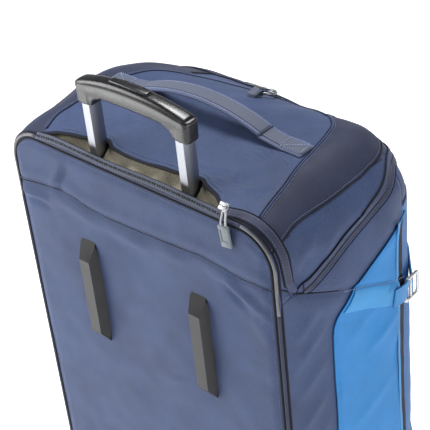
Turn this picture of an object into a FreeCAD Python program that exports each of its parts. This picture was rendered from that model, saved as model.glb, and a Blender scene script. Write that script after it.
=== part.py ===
"""Wheeled upright duffel (equipment bag) with a telescopic pull handle, as a parametric document.

The bag stands upright on two wheels and two feet. +Z is up, -Y is the back (the pull-handle side), +Y the front
(the lid side), +X the right side. The origin is at the centre of the bounding box's base.
All driving dimensions are in the Sheet object, in millimetres. "Depth" y values are counted from the back face.
"""
import FreeCAD, Part
import Sketcher
import math
import os
from FreeCAD import Vector, Placement, Rotation

doc = FreeCAD.newDocument("equipment_bag")
sheet = doc.addObject("Spreadsheet::Sheet", "Sheet")

DIMENSIONS = [
    # the bag's outside
    ("back_y", -152.55), ("back_half", 200.0), ("side_half", 215.0), ("bag_depth", 320.0), ("side_turn", 146.0),
    ("front_radius", 175.0), ("back_top", 750.0), ("crown_top", 768.0), ("crown_y", 129.0), ("brow_radius", 191.0),
    ("shoulder_radius", 88.0), ("bag_floor", 24.0), ("outline_spare", 2.0), ("heel_radius", 40.0),
    ("hem_radius", 30.0), ("wall", 4.0),
    ("panel_gap", 0.3), ("board_y", 44.0), ("board_wall", 2.0), ("tub_top", 64.0), ("side_edge", 200.0),
    # back panel and its piping
    ("back_corner", 42.0), ("back_wall", 4.0), ("back_low", 114.0), ("pipe_radius", 2.8), ("pipe_inset", 1.8),
    ("pipe_depth", 0.8), ("glow_side", 155.0), ("glow_low", 650.0),
    # end zip, lid and their zips
    ("end_zip_y", 39.0), ("end_zip_z", 662.0), ("end_zip_slope", 0.335), ("zip_half", 3.7), ("lid_half", 150.0),
    ("lid_low", 126.3), ("lid_high", 640.0), ("lid_corner", 60.0), ("chain_half", 4.2), ("chain_gap", 0.6),
    # handle pocket
    ("slot_left", 150.0), ("slot_right", 127.0), ("slot_far", 34.0), ("lip_top", 757.0), ("lining_low", 600.0),
    ("lining_y", 38.0), ("flap_y", 50.0), ("flap_z", 761.7),
    ("flap_slant", 0.42),
    # compression wings, straps and hooks
    ("wing_near", 70.0), ("wing_low", 130.0), ("wing_wall", 2.4), ("strap_width", 25.0), ("strap_wall", 1.6),
    ("strap_high", 560.0), ("strap_low", 270.0), ("hook_wide", 33.0), ("hook_tall", 34.0), ("hook_wall", 3.0),
    ("hook_y", 219.0), ("hook_lift", 8.6), ("hook_bar", 4.0),
    # skid rails
    ("rail_x", 86.5), ("rail_high", 637.0), ("rail_low", 482.0), ("rail_base", 27.0), ("rail_crest", 16.0),
    ("rail_nose", 18.6), ("rail_tall", 14.6), ("rail_slope", 28.0), ("rail_heel", 21.0), ("rail_taper", 19.0),
    # telescopic handle
    ("tube_x", 69.5), ("tube_y", 21.0), ("inner_wide", 14.0), ("inner_deep", 18.0), ("tube_wall", 1.2),
    ("tube_play", 0.4), ("outer_low", 92.0), ("outer_high", 700.0), ("inner_low", 250.0), ("inner_high", 834.0),
    ("collar_high", 714.0), ("collar_tall", 26.0), ("grip_half", 85.0), ("grip_deep", 22.0), ("leg_low", 818.0),
    ("leg_wide", 23.0), ("bar_low", 829.0), ("grip_split", 842.0), ("grip_high", 855.0), ("button_half", 29.0),
    ("button_deep", 11.0), ("button_top", 856.2), ("button_low", 846.0), ("rod_radius", 2.2),
    ("pin_radius", 2.4), ("rivet_radius", 1.6),
    ("pin_z", 268.0), ("stow_drop", 95.0), ("full_rise", 330.0),
    # top grab handle
    ("grab_y", 123.0), ("grab_wide", 26.0), ("grab_wall", 5.0), ("grab_half", 88.0), ("grab_end", 145.0),
    ("grab_rise", 17.0), ("grab_low", 776.5), ("grab_seat", 768.3), ("grab_ramp", 112.0), ("seat_wall", 2.2),
    # wheels, chassis and feet
    ("wheel_x", 181.0), ("wheel_y", 30.0), ("wheel_radius", 45.0), ("wheel_wide", 26.0), ("rim_radius", 38.0),
    ("well_radius", 49.0), ("well_wide", 30.0), ("house_near", 2.0), ("house_far", 90.0), ("house_top", 106.0),
    ("house_wall", 4.0), ("axle_radius", 4.0), ("bearing_radius", 11.0), ("bearing_wide", 7.0), ("tray_low", 14.0),
    ("foot_x", 140.0), ("foot_y", 268.0), ("foot_radius", 17.0), ("kick_top", 112.0),
    # zip sliders and pulls
    ("end_slider_y", 241.0), ("loop_lean", 22.0), ("ring_radius", 13.0), ("ring_wire", 1.7),
    ("tab_half", 5.5), ("slider_long", 12.0), ("slider_wide", 9.0), ("slider_tall", 4.5),
    ("pull_wide", 16.0), ("pull_long", 26.0),
    ("pull_wall", 3.0), ("cord_radius", 1.1), ("cord_drop", 8.0),
]
for row, (alias, number) in enumerate(DIMENSIONS, start=1):
    sheet.set(f"A{row}", alias)
    sheet.set(f"B{row}", str(number))
    sheet.setAlias(f"B{row}", alias)
doc.recompute()

SIDES = (("right", 1.0), ("left", -1.0))
parts = {}


def size(alias):
    """A driving dimension as a plain number."""
    return float(getattr(sheet, alias))


def depth(y):
    """Row-frame y of a depth counted from the back face."""
    return size("back_y") + y


def bind(thing, **expressions):
    """Bind properties of an object to expressions over the sheet; a double underscore stands for a dot."""
    for name, expression in expressions.items():
        thing.setExpression(name.replace("__", "."), expression)
    return thing


def place(thing, x, y, z):
    """Bind an object's position to three expressions; y is counted from the back face."""
    return bind(thing, Placement__Base__x=x, Placement__Base__y=f"Sheet.back_y + {y}", Placement__Base__z=z)


def keep(label, thing):
    """Register a finished sub-part under its name."""
    thing.Label = label
    parts[label] = thing
    return thing


def feature(label, shape):
    """A finished sub-part from a shape worked out with Part's own functions."""
    made = doc.addObject("Part::Feature", label)
    made.Shape = shape
    return keep(label, made)


def block(name, x, y, z, length, width, height):
    """A Part::Box from corner and size expressions."""
    made = doc.addObject("Part::Box", name)
    bind(made, Length=length, Width=width, Height=height)
    return place(made, x, y, z)


def rod(name, x, y, z, radius, height, axis="Z"):
    """A Part::Cylinder along Z, X or Y from expressions; it starts at the given point."""
    made = doc.addObject("Part::Cylinder", name)
    turn = {"Z": Rotation(), "X": Rotation(Vector(0, 1, 0), 90), "Y": Rotation(Vector(1, 0, 0), -90)}[axis]
    made.Placement = Placement(Vector(0, 0, 0), turn)
    bind(made, Radius=radius, Height=height)
    return place(made, x, y, z)


def cut(name, base, tool):
    made = doc.addObject("Part::Cut", name)
    made.Base, made.Tool = base, tool
    return made


def compound(name, things):
    made = doc.addObject("Part::Compound", name)
    made.Links = things
    return made


# ---------------------------------------------------------------- shapes worked out with Part's own functions

def box_between(low, high):
    """An axis-aligned solid; y is counted from the back face."""
    corner = Vector(low[0], depth(low[1]), low[2])
    return Part.makeBox(high[0] - low[0], high[1] - low[1], high[2] - low[2], corner)


def arc(first, middle, last):
    return Part.Arc(first, middle, last).toShape()


def line(first, last):
    return Part.makeLine(first, last)


def polar(centre, radius, degrees, axes):
    """Point on a circle in the plane of two axes, such as ("x", "y")."""
    spot = Vector(centre)
    for axis, share in zip(axes, (math.cos(math.radians(degrees)), math.sin(math.radians(degrees)))):
        setattr(spot, axis, getattr(spot, axis) + radius * share)
    return spot


def mirrored_x(point):
    return Vector(-point.x, point.y, point.z)


def both_sides(edges):
    """Edges of a right-hand half outline, given as point lists, joined to their mirror image."""
    left = [[mirrored_x(p) for p in reversed(points)] for points in reversed(edges)]
    shapes = []
    for points in edges + left:
        shapes.append(arc(*points) if len(points) == 3 else line(*points))
    return shapes


def plan_prism(grow):
    """The bag's outline seen from above, grown by a distance, as a tall solid."""
    side_r = (size("side_turn") ** 2 + (size("side_half") - size("back_half")) ** 2) / (
        2 * (size("side_half") - size("back_half")))
    turn_y = depth(size("side_turn"))
    side_c = Vector(size("side_half") - side_r, turn_y, 0)
    back = depth(-grow)
    reach = math.sqrt((side_r + grow) ** 2 - (turn_y - back) ** 2)
    start = Vector(side_c.x + reach, back, 0)
    start_angle = math.degrees(math.atan2(back - turn_y, reach))
    front_c = Vector(size("side_half") - size("front_radius"), turn_y, 0)
    front_r = size("front_radius") + grow
    outline = [
        [Vector(0, back, 0), start],
        [start, polar(side_c, side_r + grow, start_angle / 2, "xy"), polar(side_c, side_r + grow, 0, "xy")],
        [polar(front_c, front_r, 0, "xy"), polar(front_c, front_r, 45, "xy"), polar(front_c, front_r, 90, "xy")],
        [polar(front_c, front_r, 90, "xy"), Vector(0, turn_y + front_r, 0)],
    ]
    return Part.Face(Part.Wire(both_sides(outline))).extrude(Vector(0, 0, 1000))


def profile_prism(grow):
    """The bag's outline seen from the side, grown by a distance, as a wide solid."""
    rise = size("crown_top") - size("back_top")
    top_r = (size("crown_y") ** 2 + rise ** 2) / (2 * rise) + grow
    x = -300.0
    crown_c = Vector(x, depth(size("crown_y")), size("crown_top") + grow - top_r)
    back = depth(-grow)
    run = crown_c.y - back
    first = Vector(x, back, crown_c.z + math.sqrt(top_r ** 2 - run ** 2))
    lean = math.degrees(math.atan2(first.z - crown_c.z, -run))
    brow_c = Vector(x, crown_c.y, size("crown_top") - size("brow_radius"))
    brow_r = size("brow_radius") + grow
    heel_c = Vector(x, depth(size("bag_depth") - size("heel_radius")), size("bag_floor") + size("heel_radius"))
    heel_r = size("heel_radius") + grow
    low = Vector(x, back, size("bag_floor") - grow)
    edges = [
        line(low, first),
        arc(first, polar(crown_c, top_r, (lean + 90) / 2, "yz"), polar(crown_c, top_r, 90, "yz")),
        arc(polar(brow_c, brow_r, 90, "yz"), polar(brow_c, brow_r, 45, "yz"), polar(brow_c, brow_r, 0, "yz")),
        line(polar(brow_c, brow_r, 0, "yz"), polar(heel_c, heel_r, 0, "yz")),
        arc(polar(heel_c, heel_r, 0, "yz"), polar(heel_c, heel_r, -45, "yz"), polar(heel_c, heel_r, -90, "yz")),
        line(polar(heel_c, heel_r, -90, "yz"), low),
    ]
    return Part.Face(Part.Wire(edges)).extrude(Vector(600, 0, 0))


def arch_prism(half, low, high, top_r, low_r, near, far):
    """A rounded-top outline in the XZ plane, extruded between two depths."""
    y = depth(near)
    top_c, low_c = Vector(half - top_r, y, high - top_r), Vector(half - low_r, y, low + low_r)
    outline = [
        [Vector(0, y, low), polar(low_c, low_r, -90, "xz")],
        [polar(low_c, low_r, -90, "xz"), polar(low_c, low_r, -45, "xz"), polar(low_c, low_r, 0, "xz")],
        [polar(low_c, low_r, 0, "xz"), polar(top_c, top_r, 0, "xz")],
        [polar(top_c, top_r, 0, "xz"), polar(top_c, top_r, 45, "xz"), polar(top_c, top_r, 90, "xz")],
        [polar(top_c, top_r, 90, "xz"), Vector(0, y, high)],
    ]
    return Part.Face(Part.Wire(both_sides(outline))).extrude(Vector(0, far - near, 0))


def bag_solid(grow):
    """The bag's closed outer form, grown by a distance."""
    spare = size("outline_spare") + grow
    front = arch_prism(size("side_half") + spare, size("bag_floor") - spare, size("crown_top") + spare,
                       size("shoulder_radius") + grow, size("hem_radius") + grow, -60, size("bag_depth") + 60)
    return plan_prism(grow).common(profile_prism(grow)).common(front)


def skin(inner, outer):
    """A layer of the bag's form between two distances."""
    return bag_solid(outer).cut(bag_solid(inner))


def side_prism(points):
    """A polygon in the YZ plane, as a wide solid; y is counted from the back face."""
    corners = [Vector(-300, depth(y), z) for y, z in points]
    return Part.Face(Part.makePolygon(corners + corners[:1])).extrude(Vector(600, 0, 0))


def above_end_zip(lift):
    """Everything above the sloping plane of the end zip, raised by a distance."""
    def plane(y):
        return size("end_zip_z") + size("end_zip_slope") * (y - size("end_zip_y")) + lift
    return side_prism([(-80, plane(-80)), (420, plane(420)), (420, 990), (-80, 990)])


def flap_zone(shift):
    """Everything forward of the fold line that the end flap opens about; it slants forward down the sides."""
    def fold(z):
        return size("flap_y") + shift + size("flap_slant") * max(0.0, size("flap_z") - z)
    return side_prism([(fold(990), 990), (fold(size("flap_z")), size("flap_z")), (fold(500), 500), (500, 500),
                       (500, 990)])


def lid_prism(grow, low):
    return arch_prism(size("lid_half") + grow, low, size("lid_high") + grow, size("lid_corner") + grow, 14,
                      size("side_edge") + size("panel_gap"), size("bag_depth") + 60)


def tube_along(edges, radius):
    """A round bar along a path of tangent lines and arcs."""
    path = Part.Wire(edges)
    start = path.Edges[0].Vertexes[0].Point
    heading = path.Edges[0].tangentAt(path.Edges[0].FirstParameter)
    ring = Part.Wire(Part.makeCircle(radius, start, heading))
    return path.makePipeShell([ring], True, True)


# ---------------------------------------------------------------- fabric body

def fabric_body():
    wall, gap = size("wall"), size("panel_gap")
    shell = skin(-wall, 0)
    shell = shell.common(box_between((-300, size("back_wall") + gap, 0), (300, 400, 900)))
    zip_half = size("zip_half")
    cap = shell.common(above_end_zip(zip_half + gap))
    slot = box_between((-size("slot_left"), -5, 700), (size("slot_right"), size("slot_far"), 800))
    feature("end_bridge", cap.cut(slot).cut(flap_zone(-gap)))
    feature("end_flap", cap.common(flap_zone(0)))
    play = size("chain_gap")
    upper_half = shell.common(above_end_zip(play)).cut(above_end_zip(zip_half))
    feature("end_zip_flap", upper_half.common(flap_zone(0)))
    lower_half = shell.common(above_end_zip(-zip_half)).cut(above_end_zip(-play))
    feature("end_zip_body", Part.makeCompound(lower_half.Solids + upper_half.cut(flap_zone(-gap)).Solids))
    low = shell.cut(above_end_zip(-zip_half - gap))
    reach = size("wheel_x") - size("well_wide") / 2 - size("house_wall") - gap
    for _, sign in SIDES:
        inner, outer = sorted((sign * reach, sign * 300))
        low = low.cut(box_between((inner, -20, 0), (outer, size("house_far") + gap, size("house_top") + gap)))
    tub = size("tub_top")
    bottom = low.common(box_between((-300, 0, 0), (300, 400, tub)))
    feature("bottom_panel", bottom)
    upper = low.common(box_between((-300, 0, tub + gap), (300, 400, 900)))
    edge = size("side_edge")
    for side, sign in SIDES:
        inner, outer = sorted((sign * 60, sign * 300))
        feature(f"side_panel_{side}", upper.common(box_between((inner, 0, 0), (outer, edge, 900))))
    front = upper.common(box_between((-300, edge + gap, 0), (300, 400, 900)))
    chain, play, low_z = size("chain_half"), size("chain_gap"), size("lid_low")
    feature("front_lid", front.common(lid_prism(-chain - gap, low_z)))
    frame = front.cut(lid_prism(chain + gap, low_z - 0.8))
    split = size("lid_high") + chain + gap
    top = frame.common(box_between((-300, 0, split), (300, 400, 900)))
    solids = [top]
    for _, sign in SIDES:
        inner, outer = sorted((sign * gap / 2, sign * 300))
        solids.append(frame.common(box_between((inner, 0, 0), (outer, 400, split - gap))))
    feature("front_frame", Part.makeCompound([s for shape in solids for s in shape.Solids]))
    above_hinge = box_between((-300, 0, low_z + 30), (300, 400, 900))
    inner_half = front.common(lid_prism(-play, low_z)).cut(lid_prism(-chain, low_z - 5)).common(above_hinge)
    outer_half = front.common(lid_prism(chain, low_z)).cut(lid_prism(play, low_z - 5)).common(above_hinge)
    feature("lid_zip_inner", inner_half)
    feature("lid_zip_frame", outer_half)


def back_panel():
    """Foam-backed back panel: a padded rectangle with rounded top corners."""
    body = doc.addObject("PartDesign::Body", "back_panel")
    keep("back_panel", body)
    sketch = body.newObject("Sketcher::SketchObject", "back_outline")
    plane = [f for f in body.Origin.OriginFeatures if f.Role == "XZ_Plane"][0]
    sketch.AttachmentSupport = [(plane, "")]
    sketch.MapMode = "FlatFace"
    half, low, high = "Sheet.back_half - 5", "Sheet.back_low", "Sheet.back_top - 5"
    draw_polygon(sketch, [(f"-({half})", low), (half, low), (half, high), (f"-({half})", high)])
    pad = body.newObject("PartDesign::Pad", "back_pad")
    pad.Profile = sketch
    pad.Reversed = True
    bind(pad, Length="Sheet.back_wall")
    bind(sketch, AttachmentOffset__Base__z="-Sheet.back_y")
    doc.recompute()
    names = []
    for number, edge in enumerate(pad.Shape.Edges, start=1):
        box = edge.BoundBox
        if box.YLength > 1 and box.XLength < 0.1 and box.ZLength < 0.1 and box.ZMin > 700:
            names.append(f"Edge{number}")
    fillet = body.newObject("PartDesign::Fillet", "back_corners")
    fillet.Base = (pad, names)
    bind(fillet, Radius="Sheet.back_corner - 5 + Sheet.pipe_inset")
    body.Tip = fillet


def draw_polygon(sketch, corners):
    """Straight outline whose every corner is held by two constraints bound to expressions."""
    points = [Vector(float(sheet.evalExpression(a)), float(sheet.evalExpression(b)), 0) for a, b in corners]
    count = len(points)
    for number in range(count):
        sketch.addGeometry(Part.LineSegment(points[number], points[(number + 1) % count]), False)
    for number in range(count):
        sketch.addConstraint(Sketcher.Constraint("Coincident", number, 2, (number + 1) % count, 1))
    for number, (across, up) in enumerate(corners):
        spot = points[number]
        for kind, expression, value in (("DistanceX", across, spot.x), ("DistanceY", up, spot.y)):
            place_at = sketch.addConstraint(Sketcher.Constraint(kind, -1, 1, number, 1, value))
            sketch.setExpression(f"Constraints[{place_at}]", expression)


def piping():
    """Cord piping round the back panel, with reflective lengths over both top corners."""
    half, top = size("back_half") - size("pipe_inset"), size("back_top") - size("pipe_inset")
    y, bend, low = depth(size("pipe_depth")), size("back_corner"), size("back_low")
    glow_x, glow_z, gap = size("glow_side"), size("glow_low"), size("panel_gap")
    dull, bright = [], []
    across = line(Vector(-glow_x + gap, y, top), Vector(glow_x - gap, y, top))
    dull.append(tube_along([across], size("pipe_radius")))
    for _, sign in SIDES:
        def at(x, z):
            return Vector(sign * x, y, z)
        dull.append(tube_along([line(at(half, low), at(half, glow_z - gap))], size("pipe_radius")))
        turn = half - bend
        diagonal = bend * math.sqrt(0.5)
        corner = arc(at(half, top - bend), at(turn + diagonal, top - bend + diagonal), at(turn, top))
        path = [line(at(half, glow_z), at(half, top - bend)), corner, line(at(turn, top), at(glow_x, top))]
        bright.append(tube_along(path, size("pipe_radius")))
    feature("back_piping", Part.makeCompound(dull))
    feature("reflective_piping", Part.makeCompound(bright))


def back_board():
    board = block("board", "-Sheet.back_half + 12", "Sheet.board_y", "Sheet.bag_floor + Sheet.wall + 1",
                  "2 * Sheet.back_half - 24", "Sheet.board_wall",
                  "Sheet.back_top - 14 - Sheet.bag_floor - Sheet.wall - 1")
    notches = []
    for side, sign in SIDES:
        start = "Sheet.wheel_x - Sheet.well_wide / 2 - Sheet.house_wall - 1"
        corner = start if sign > 0 else f"-({start}) - 80"
        notches.append(block(f"board_notch_{side}", corner, "Sheet.board_y - 5", "0", "80", "20",
                             "Sheet.house_top + 1"))
    keep("back_board", cut("back_board", board, compound("board_notches", notches)))


def pocket_lining():
    keep("pocket_lining", block("pocket_lining", "-Sheet.slot_left - 2", "Sheet.lining_y", "Sheet.lining_low",
                                "Sheet.slot_left + Sheet.slot_right + 4", "1.6",
                                "Sheet.back_top - 6 - Sheet.lining_low"))


def trolley_zip():
    """Open zip of the handle pocket: one half stands on the back panel, the other edges the end cap."""
    span = "Sheet.slot_left + Sheet.slot_right - 2"
    near = block("zip_near", "-Sheet.slot_left + 1", "Sheet.pipe_depth + Sheet.pipe_radius - 2.4",
                 "Sheet.back_top + 1.6", span, "2", "Sheet.lip_top - Sheet.back_top - 1.6")
    far = block("zip_far", "-Sheet.slot_left + 1", "Sheet.slot_far - 1.3", "Sheet.back_top - 2", span, "1", "10")
    keep("trolley_zip", compound("trolley_zip", [near, far]))


# ---------------------------------------------------------------- compression wings, straps and hooks

def wings_and_straps():
    rise, thick = 0.3, size("wing_wall")
    layer = skin(rise, rise + thick)
    near, edge, low = size("wing_near"), size("side_edge"), size("wing_low")
    shape = side_prism([(near, low), (near, 598), (near + 8, 622), (near + 32, 638), (near + 72, 650),
                        (edge - 14, 668), (edge - 6, 640), (edge, 600), (edge, low)])
    for side, sign in SIDES:
        inner, outer = sorted((sign * 100, sign * 300))
        feature(f"wing_{side}", layer.common(shape).common(box_between((inner, 0, 0), (outer, 400, 900))))
    half = size("strap_width") / 2
    over = skin(rise + thick + 0.3, rise + thick + 0.3 + size("strap_wall"))
    strips = []
    for height in (size("strap_high"), size("strap_low")):
        for _, sign in SIDES:
            for start, end in ((150, 203), (236, 268)):
                inner, outer = sorted((sign * 60, sign * 300))
                window = box_between((inner, start, height - half), (outer, end, height + half))
                strips += over.common(window).Solids
    feature("straps", Part.makeCompound(strips))


def hook_frame():
    """Where a hook sits on the front corner: its centre, and the directions along and out of the surface."""
    turn, radius = size("side_turn"), size("front_radius")
    centre_x = size("side_half") - radius
    angle = math.asin((size("hook_y") - turn) / radius)
    reach = radius + size("hook_lift")
    middle = Vector(centre_x + reach * math.cos(angle), depth(turn) + reach * math.sin(angle), 0)
    return middle, math.degrees(angle)


def hooks():
    """Aluminium strap hooks: a flat frame with two webbing slots."""
    middle, turn = hook_frame()
    wide, tall, thick, bar = size("hook_wide"), size("hook_tall"), size("hook_wall"), size("hook_bar")
    for level in ("high", "low"):
        for side, sign in SIDES:
            plate = Part.makeBox(thick, wide, tall, Vector(-thick / 2, -wide / 2, -tall / 2))
            plate = plate.makeFillet(4, [e for e in plate.Edges if e.BoundBox.XLength > thick - 0.1
                                         and e.BoundBox.YLength < 0.1 and e.BoundBox.ZLength < 0.1])
            slot_deep = (wide - 3 * bar) / 2
            for start in (-wide / 2 + bar, bar / 2):
                slot = Part.makeBox(thick + 2, slot_deep, tall - 2 * bar,
                                    Vector(-thick / 2 - 1, start, -tall / 2 + bar))
                plate = plate.cut(slot)
            plate.rotate(Vector(0, 0, 0), Vector(0, 0, 1), turn)
            plate.translate(Vector(middle.x, middle.y, size(f"strap_{level}")))
            if sign < 0:
                plate = plate.mirror(Vector(0, 0, 0), Vector(1, 0, 0))
            feature(f"hook_{level}_{side}", plate)


# ---------------------------------------------------------------- skid rails

def skid_rails():
    """Moulded rails on the back: a low ridge with narrowed, sloping ends, screwed on from inside."""
    low, high, tall, taper = size("rail_low"), size("rail_high"), size("rail_tall"), size("rail_taper")
    base, crest, nose = size("rail_base") / 2, size("rail_crest") / 2, size("rail_nose") / 2
    top, heel = high - size("rail_slope"), low + size("rail_heel")
    for side, sign in SIDES:
        middle = sign * size("rail_x")
        rim = [Vector(middle + dx, depth(-0.3), z) for dx, z in
               ((-nose, low), (nose, low), (base, low + taper), (base, high - taper),
                (nose, high), (-nose, high), (-base, high - taper), (-base, low + taper))]
        ridge = [Vector(middle + dx, depth(-0.3 - tall), z) for dx, z in
                 ((-crest, heel), (crest, heel), (crest, top), (-crest, top))]
        plan = Part.Face(Part.makePolygon([*rim, rim[0]])).extrude(Vector(0, -tall, 0))
        wide = [Vector(middle + dx, depth(-0.3), z) for dx, z in
                ((-base, low), (base, low), (base, high), (-base, high))]
        outlines = [Part.makePolygon([*wide, wide[0]]), Part.makePolygon([*ridge, ridge[0]])]
        feature(f"skid_rail_{side}", Part.makeLoft(outlines, True, True).common(plan))


# ---------------------------------------------------------------- telescopic handle

def oval_prism(wide, deep, bulge, low, high, x, y):
    """Upright bar with flat front and back faces and bowed sides."""
    half_w, half_d = wide / 2 - bulge, deep / 2
    yy = depth(y)
    corners = [Vector(x + sx * half_w, yy + sy * half_d, low) for sx, sy in ((-1, -1), (1, -1), (1, 1), (-1, 1))]
    right, left = Vector(x + wide / 2, yy, low), Vector(x - wide / 2, yy, low)
    edges = [line(corners[0], corners[1]), arc(corners[1], right, corners[2]),
             line(corners[2], corners[3]), arc(corners[3], left, corners[0])]
    return Part.Face(Part.Wire(edges)).extrude(Vector(0, 0, high - low))


def telescopic_tubes():
    wide, deep, wall, play = size("inner_wide"), size("inner_deep"), size("tube_wall"), size("tube_play")
    y, bulge = size("tube_y"), 1.6
    collars, shoes = [], []
    for side, sign in SIDES:
        x = sign * size("tube_x")
        low, high = size("inner_low"), size("inner_high")
        bar = oval_prism(wide, deep, bulge, low, high, x, y)
        bore = oval_prism(wide - 2 * wall, deep - 2 * wall, bulge, low - 1, high + 1, x, y)
        feature(f"inner_tube_{side}", bar.cut(bore))
        bore = (wide + 2 * play, deep + 2 * play)
        outside = (bore[0] + 2 * wall, bore[1] + 2 * wall)
        low, high = size("outer_low"), size("outer_high")
        sleeve = oval_prism(outside[0], outside[1], bulge, low, high, x, y).cut(
            oval_prism(bore[0], bore[1], bulge, low - 1, high + 1, x, y))
        for stop in (-size("stow_drop"), 0.0, size("full_rise")):
            start = Vector(x, depth(y), size("pin_z") + stop)
            sleeve = sleeve.cut(Part.makeCylinder(size("pin_radius") + 0.5, 20, start, Vector(sign, 0, 0)))
        feature(f"outer_tube_{side}", sleeve)
        top, tall = size("collar_high"), size("collar_tall")
        collar = oval_prism(outside[0] + 8, outside[1] + 8, bulge, top - tall, top, x, y)
        collar = collar.cut(oval_prism(outside[0] + 0.2, outside[1] + 0.2, bulge, 0, high + 0.2, x, y))
        collars.append(collar.cut(oval_prism(wide + play, deep + play, bulge, high - 1, top + 1, x, y)))
        pin_z = size("pin_z")
        shoe = oval_prism(wide - 2 * wall - 0.2, deep - 2 * wall - 0.2, bulge, size("inner_low") + 0.2,
                          pin_z + 9, x, y)
        passage = Part.makeCylinder(size("pin_radius") + 0.15, 30, Vector(x - sign * 4.5, depth(y), pin_z),
                                    Vector(sign, 0, 0))
        shoe = shoe.cut(passage)
        well = Part.makeCylinder(size("rod_radius") + 0.3, 30, Vector(x, depth(y), pin_z + 1.6), Vector(0, 0, 1))
        shoes.append(shoe.cut(well))
        tip = wide / 2 + play - 0.1
        pin = Part.makeCylinder(size("pin_radius"), tip - 0.4, Vector(x + sign * 0.4, depth(y), pin_z),
                                Vector(sign, 0, 0))
        feature(f"lock_pin_{side}", pin)
        tube = parts[f"inner_tube_{side}"]
        tube.Shape = tube.Shape.cut(passage)
    feature("slide_shoes", Part.makeCompound(shoes))
    feature("tube_collars", Part.makeCompound(collars))
    foot = box_between((-size("tube_x") - 20, 6, 80), (size("tube_x") + 20, 36, 104))
    for _, sign in SIDES:
        foot = foot.cut(oval_prism(wide + 2 * play + 2 * wall + 0.2, deep + 2 * play + 2 * wall + 0.2, bulge,
                                   size("outer_low") - 0.2, 120, sign * size("tube_x"), y))
    feature("tube_foot", foot)


def grip():
    """Hollow two-shell grip with a release button, push rods and the rivets that hold it on the tubes."""
    half, deep, y = size("grip_half"), size("grip_deep"), size("tube_y")
    low, bar, split, high = size("leg_low"), size("bar_low"), size("grip_split"), size("grip_high")
    inner = size("tube_x") - size("leg_wide") / 2
    near, far = depth(y - deep / 2), depth(y + deep / 2)

    def at(x, z):
        return Vector(x, near, z)

    edges = both_sides([
        [at(0, bar), at(inner - 12, bar)],
        [at(inner - 12, bar), at(inner - 3.5, bar - 3.5), at(inner, low)],
        [at(inner, low), at(half - 3, low)],
        [at(half - 3, low), at(half, split)],
        [at(half, split), at(half - 1, high - 9)],
        [at(half - 1, high - 9), at(half - 8, high - 3), at(half - 22, high - 1)],
        [at(half - 22, high - 1), at(0, high)],
    ])
    solid = Part.Face(Part.Wire(edges)).extrude(Vector(0, far - near, 0))
    tube_w, tube_d = size("inner_wide") + 0.3, size("inner_deep") + 0.3
    for _, sign in SIDES:
        solid = solid.cut(oval_prism(tube_w, tube_d, 1.6, low - 1, size("inner_high") + 0.3,
                                     sign * size("tube_x"), y))
    run = size("tube_x") + 4
    solid = solid.cut(box_between((-run, y - 3, size("inner_high") - 1), (run, y + 3, high - 9)))
    button = size("button_half"), size("button_deep") / 2
    solid = solid.cut(box_between((-button[0] - 0.4, y - button[1] - 0.4, split - 1),
                                  (button[0] + 0.4, y + button[1] + 0.4, high + 5)))
    lower = solid.common(box_between((-200, -50, 700), (200, 100, split - 0.15)))
    upper = solid.common(box_between((-200, -50, split + 0.15), (200, 100, 900)))
    feature("grip_lower_shell", lower)
    feature("grip_upper_shell", upper)
    under, over = size("button_low"), size("button_top")
    slab = box_between((-button[0], y - button[1], under), (button[0], y + button[1], over))
    feature("release_button", slab.makeFillet(1.5, [e for e in slab.Edges if e.BoundBox.ZMin > over - 1]))
    rods = []
    for _, sign in SIDES:
        x = sign * size("tube_x")
        end = size("pin_z") + 7
        bar_top = size("button_low") - 6
        pole = Part.makeCylinder(size("rod_radius"), bar_top + 2 - end, Vector(x, depth(y), end))
        arm = box_between(*sorted_box(x, sign * 12, y - 2.2, y + 2.2, bar_top, bar_top + 3.0))
        rise_top = size("button_low") - 0.1
        rise = box_between(*sorted_box(sign * 12, sign * 17, y - 2.2, y + 2.2, bar_top, rise_top))
        rods.append(pole.fuse(arm).fuse(rise).removeSplitter())
    feature("push_rods", Part.makeCompound(rods))
    rivets = []
    for side, sign in SIDES:
        inside = depth(y + size("inner_deep") / 2 - size("tube_wall") - 1)
        seat = Vector(sign * (size("tube_x") + 4.4), inside, low + 6)
        hole = Part.makeCylinder(size("rivet_radius") + 0.15, 12, seat, Vector(0, 1, 0))
        rivets.append(Part.makeCylinder(size("rivet_radius"), far - seat.y, seat, Vector(0, 1, 0)))
        for node in (f"inner_tube_{side}", "grip_lower_shell"):
            parts[node].Shape = parts[node].Shape.cut(hole)
    return rivets


def sorted_box(x1, x2, y1, y2, z1, z2):
    return (min(x1, x2), min(y1, y2), min(z1, z2)), (max(x1, x2), max(y1, y2), max(z1, z2))


def button_spring():
    """Return spring under the release button, drawn as its sleeve."""
    coil = rod("spring_outer", "0", "Sheet.tube_y", "Sheet.grip_split - 0.9", "4.8", "4.7")
    hole = rod("spring_hole", "0", "Sheet.tube_y", "Sheet.grip_split - 2", "3.7", "8")
    keep("button_spring", cut("button_spring", coil, hole))


# ---------------------------------------------------------------- top grab handle

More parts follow.
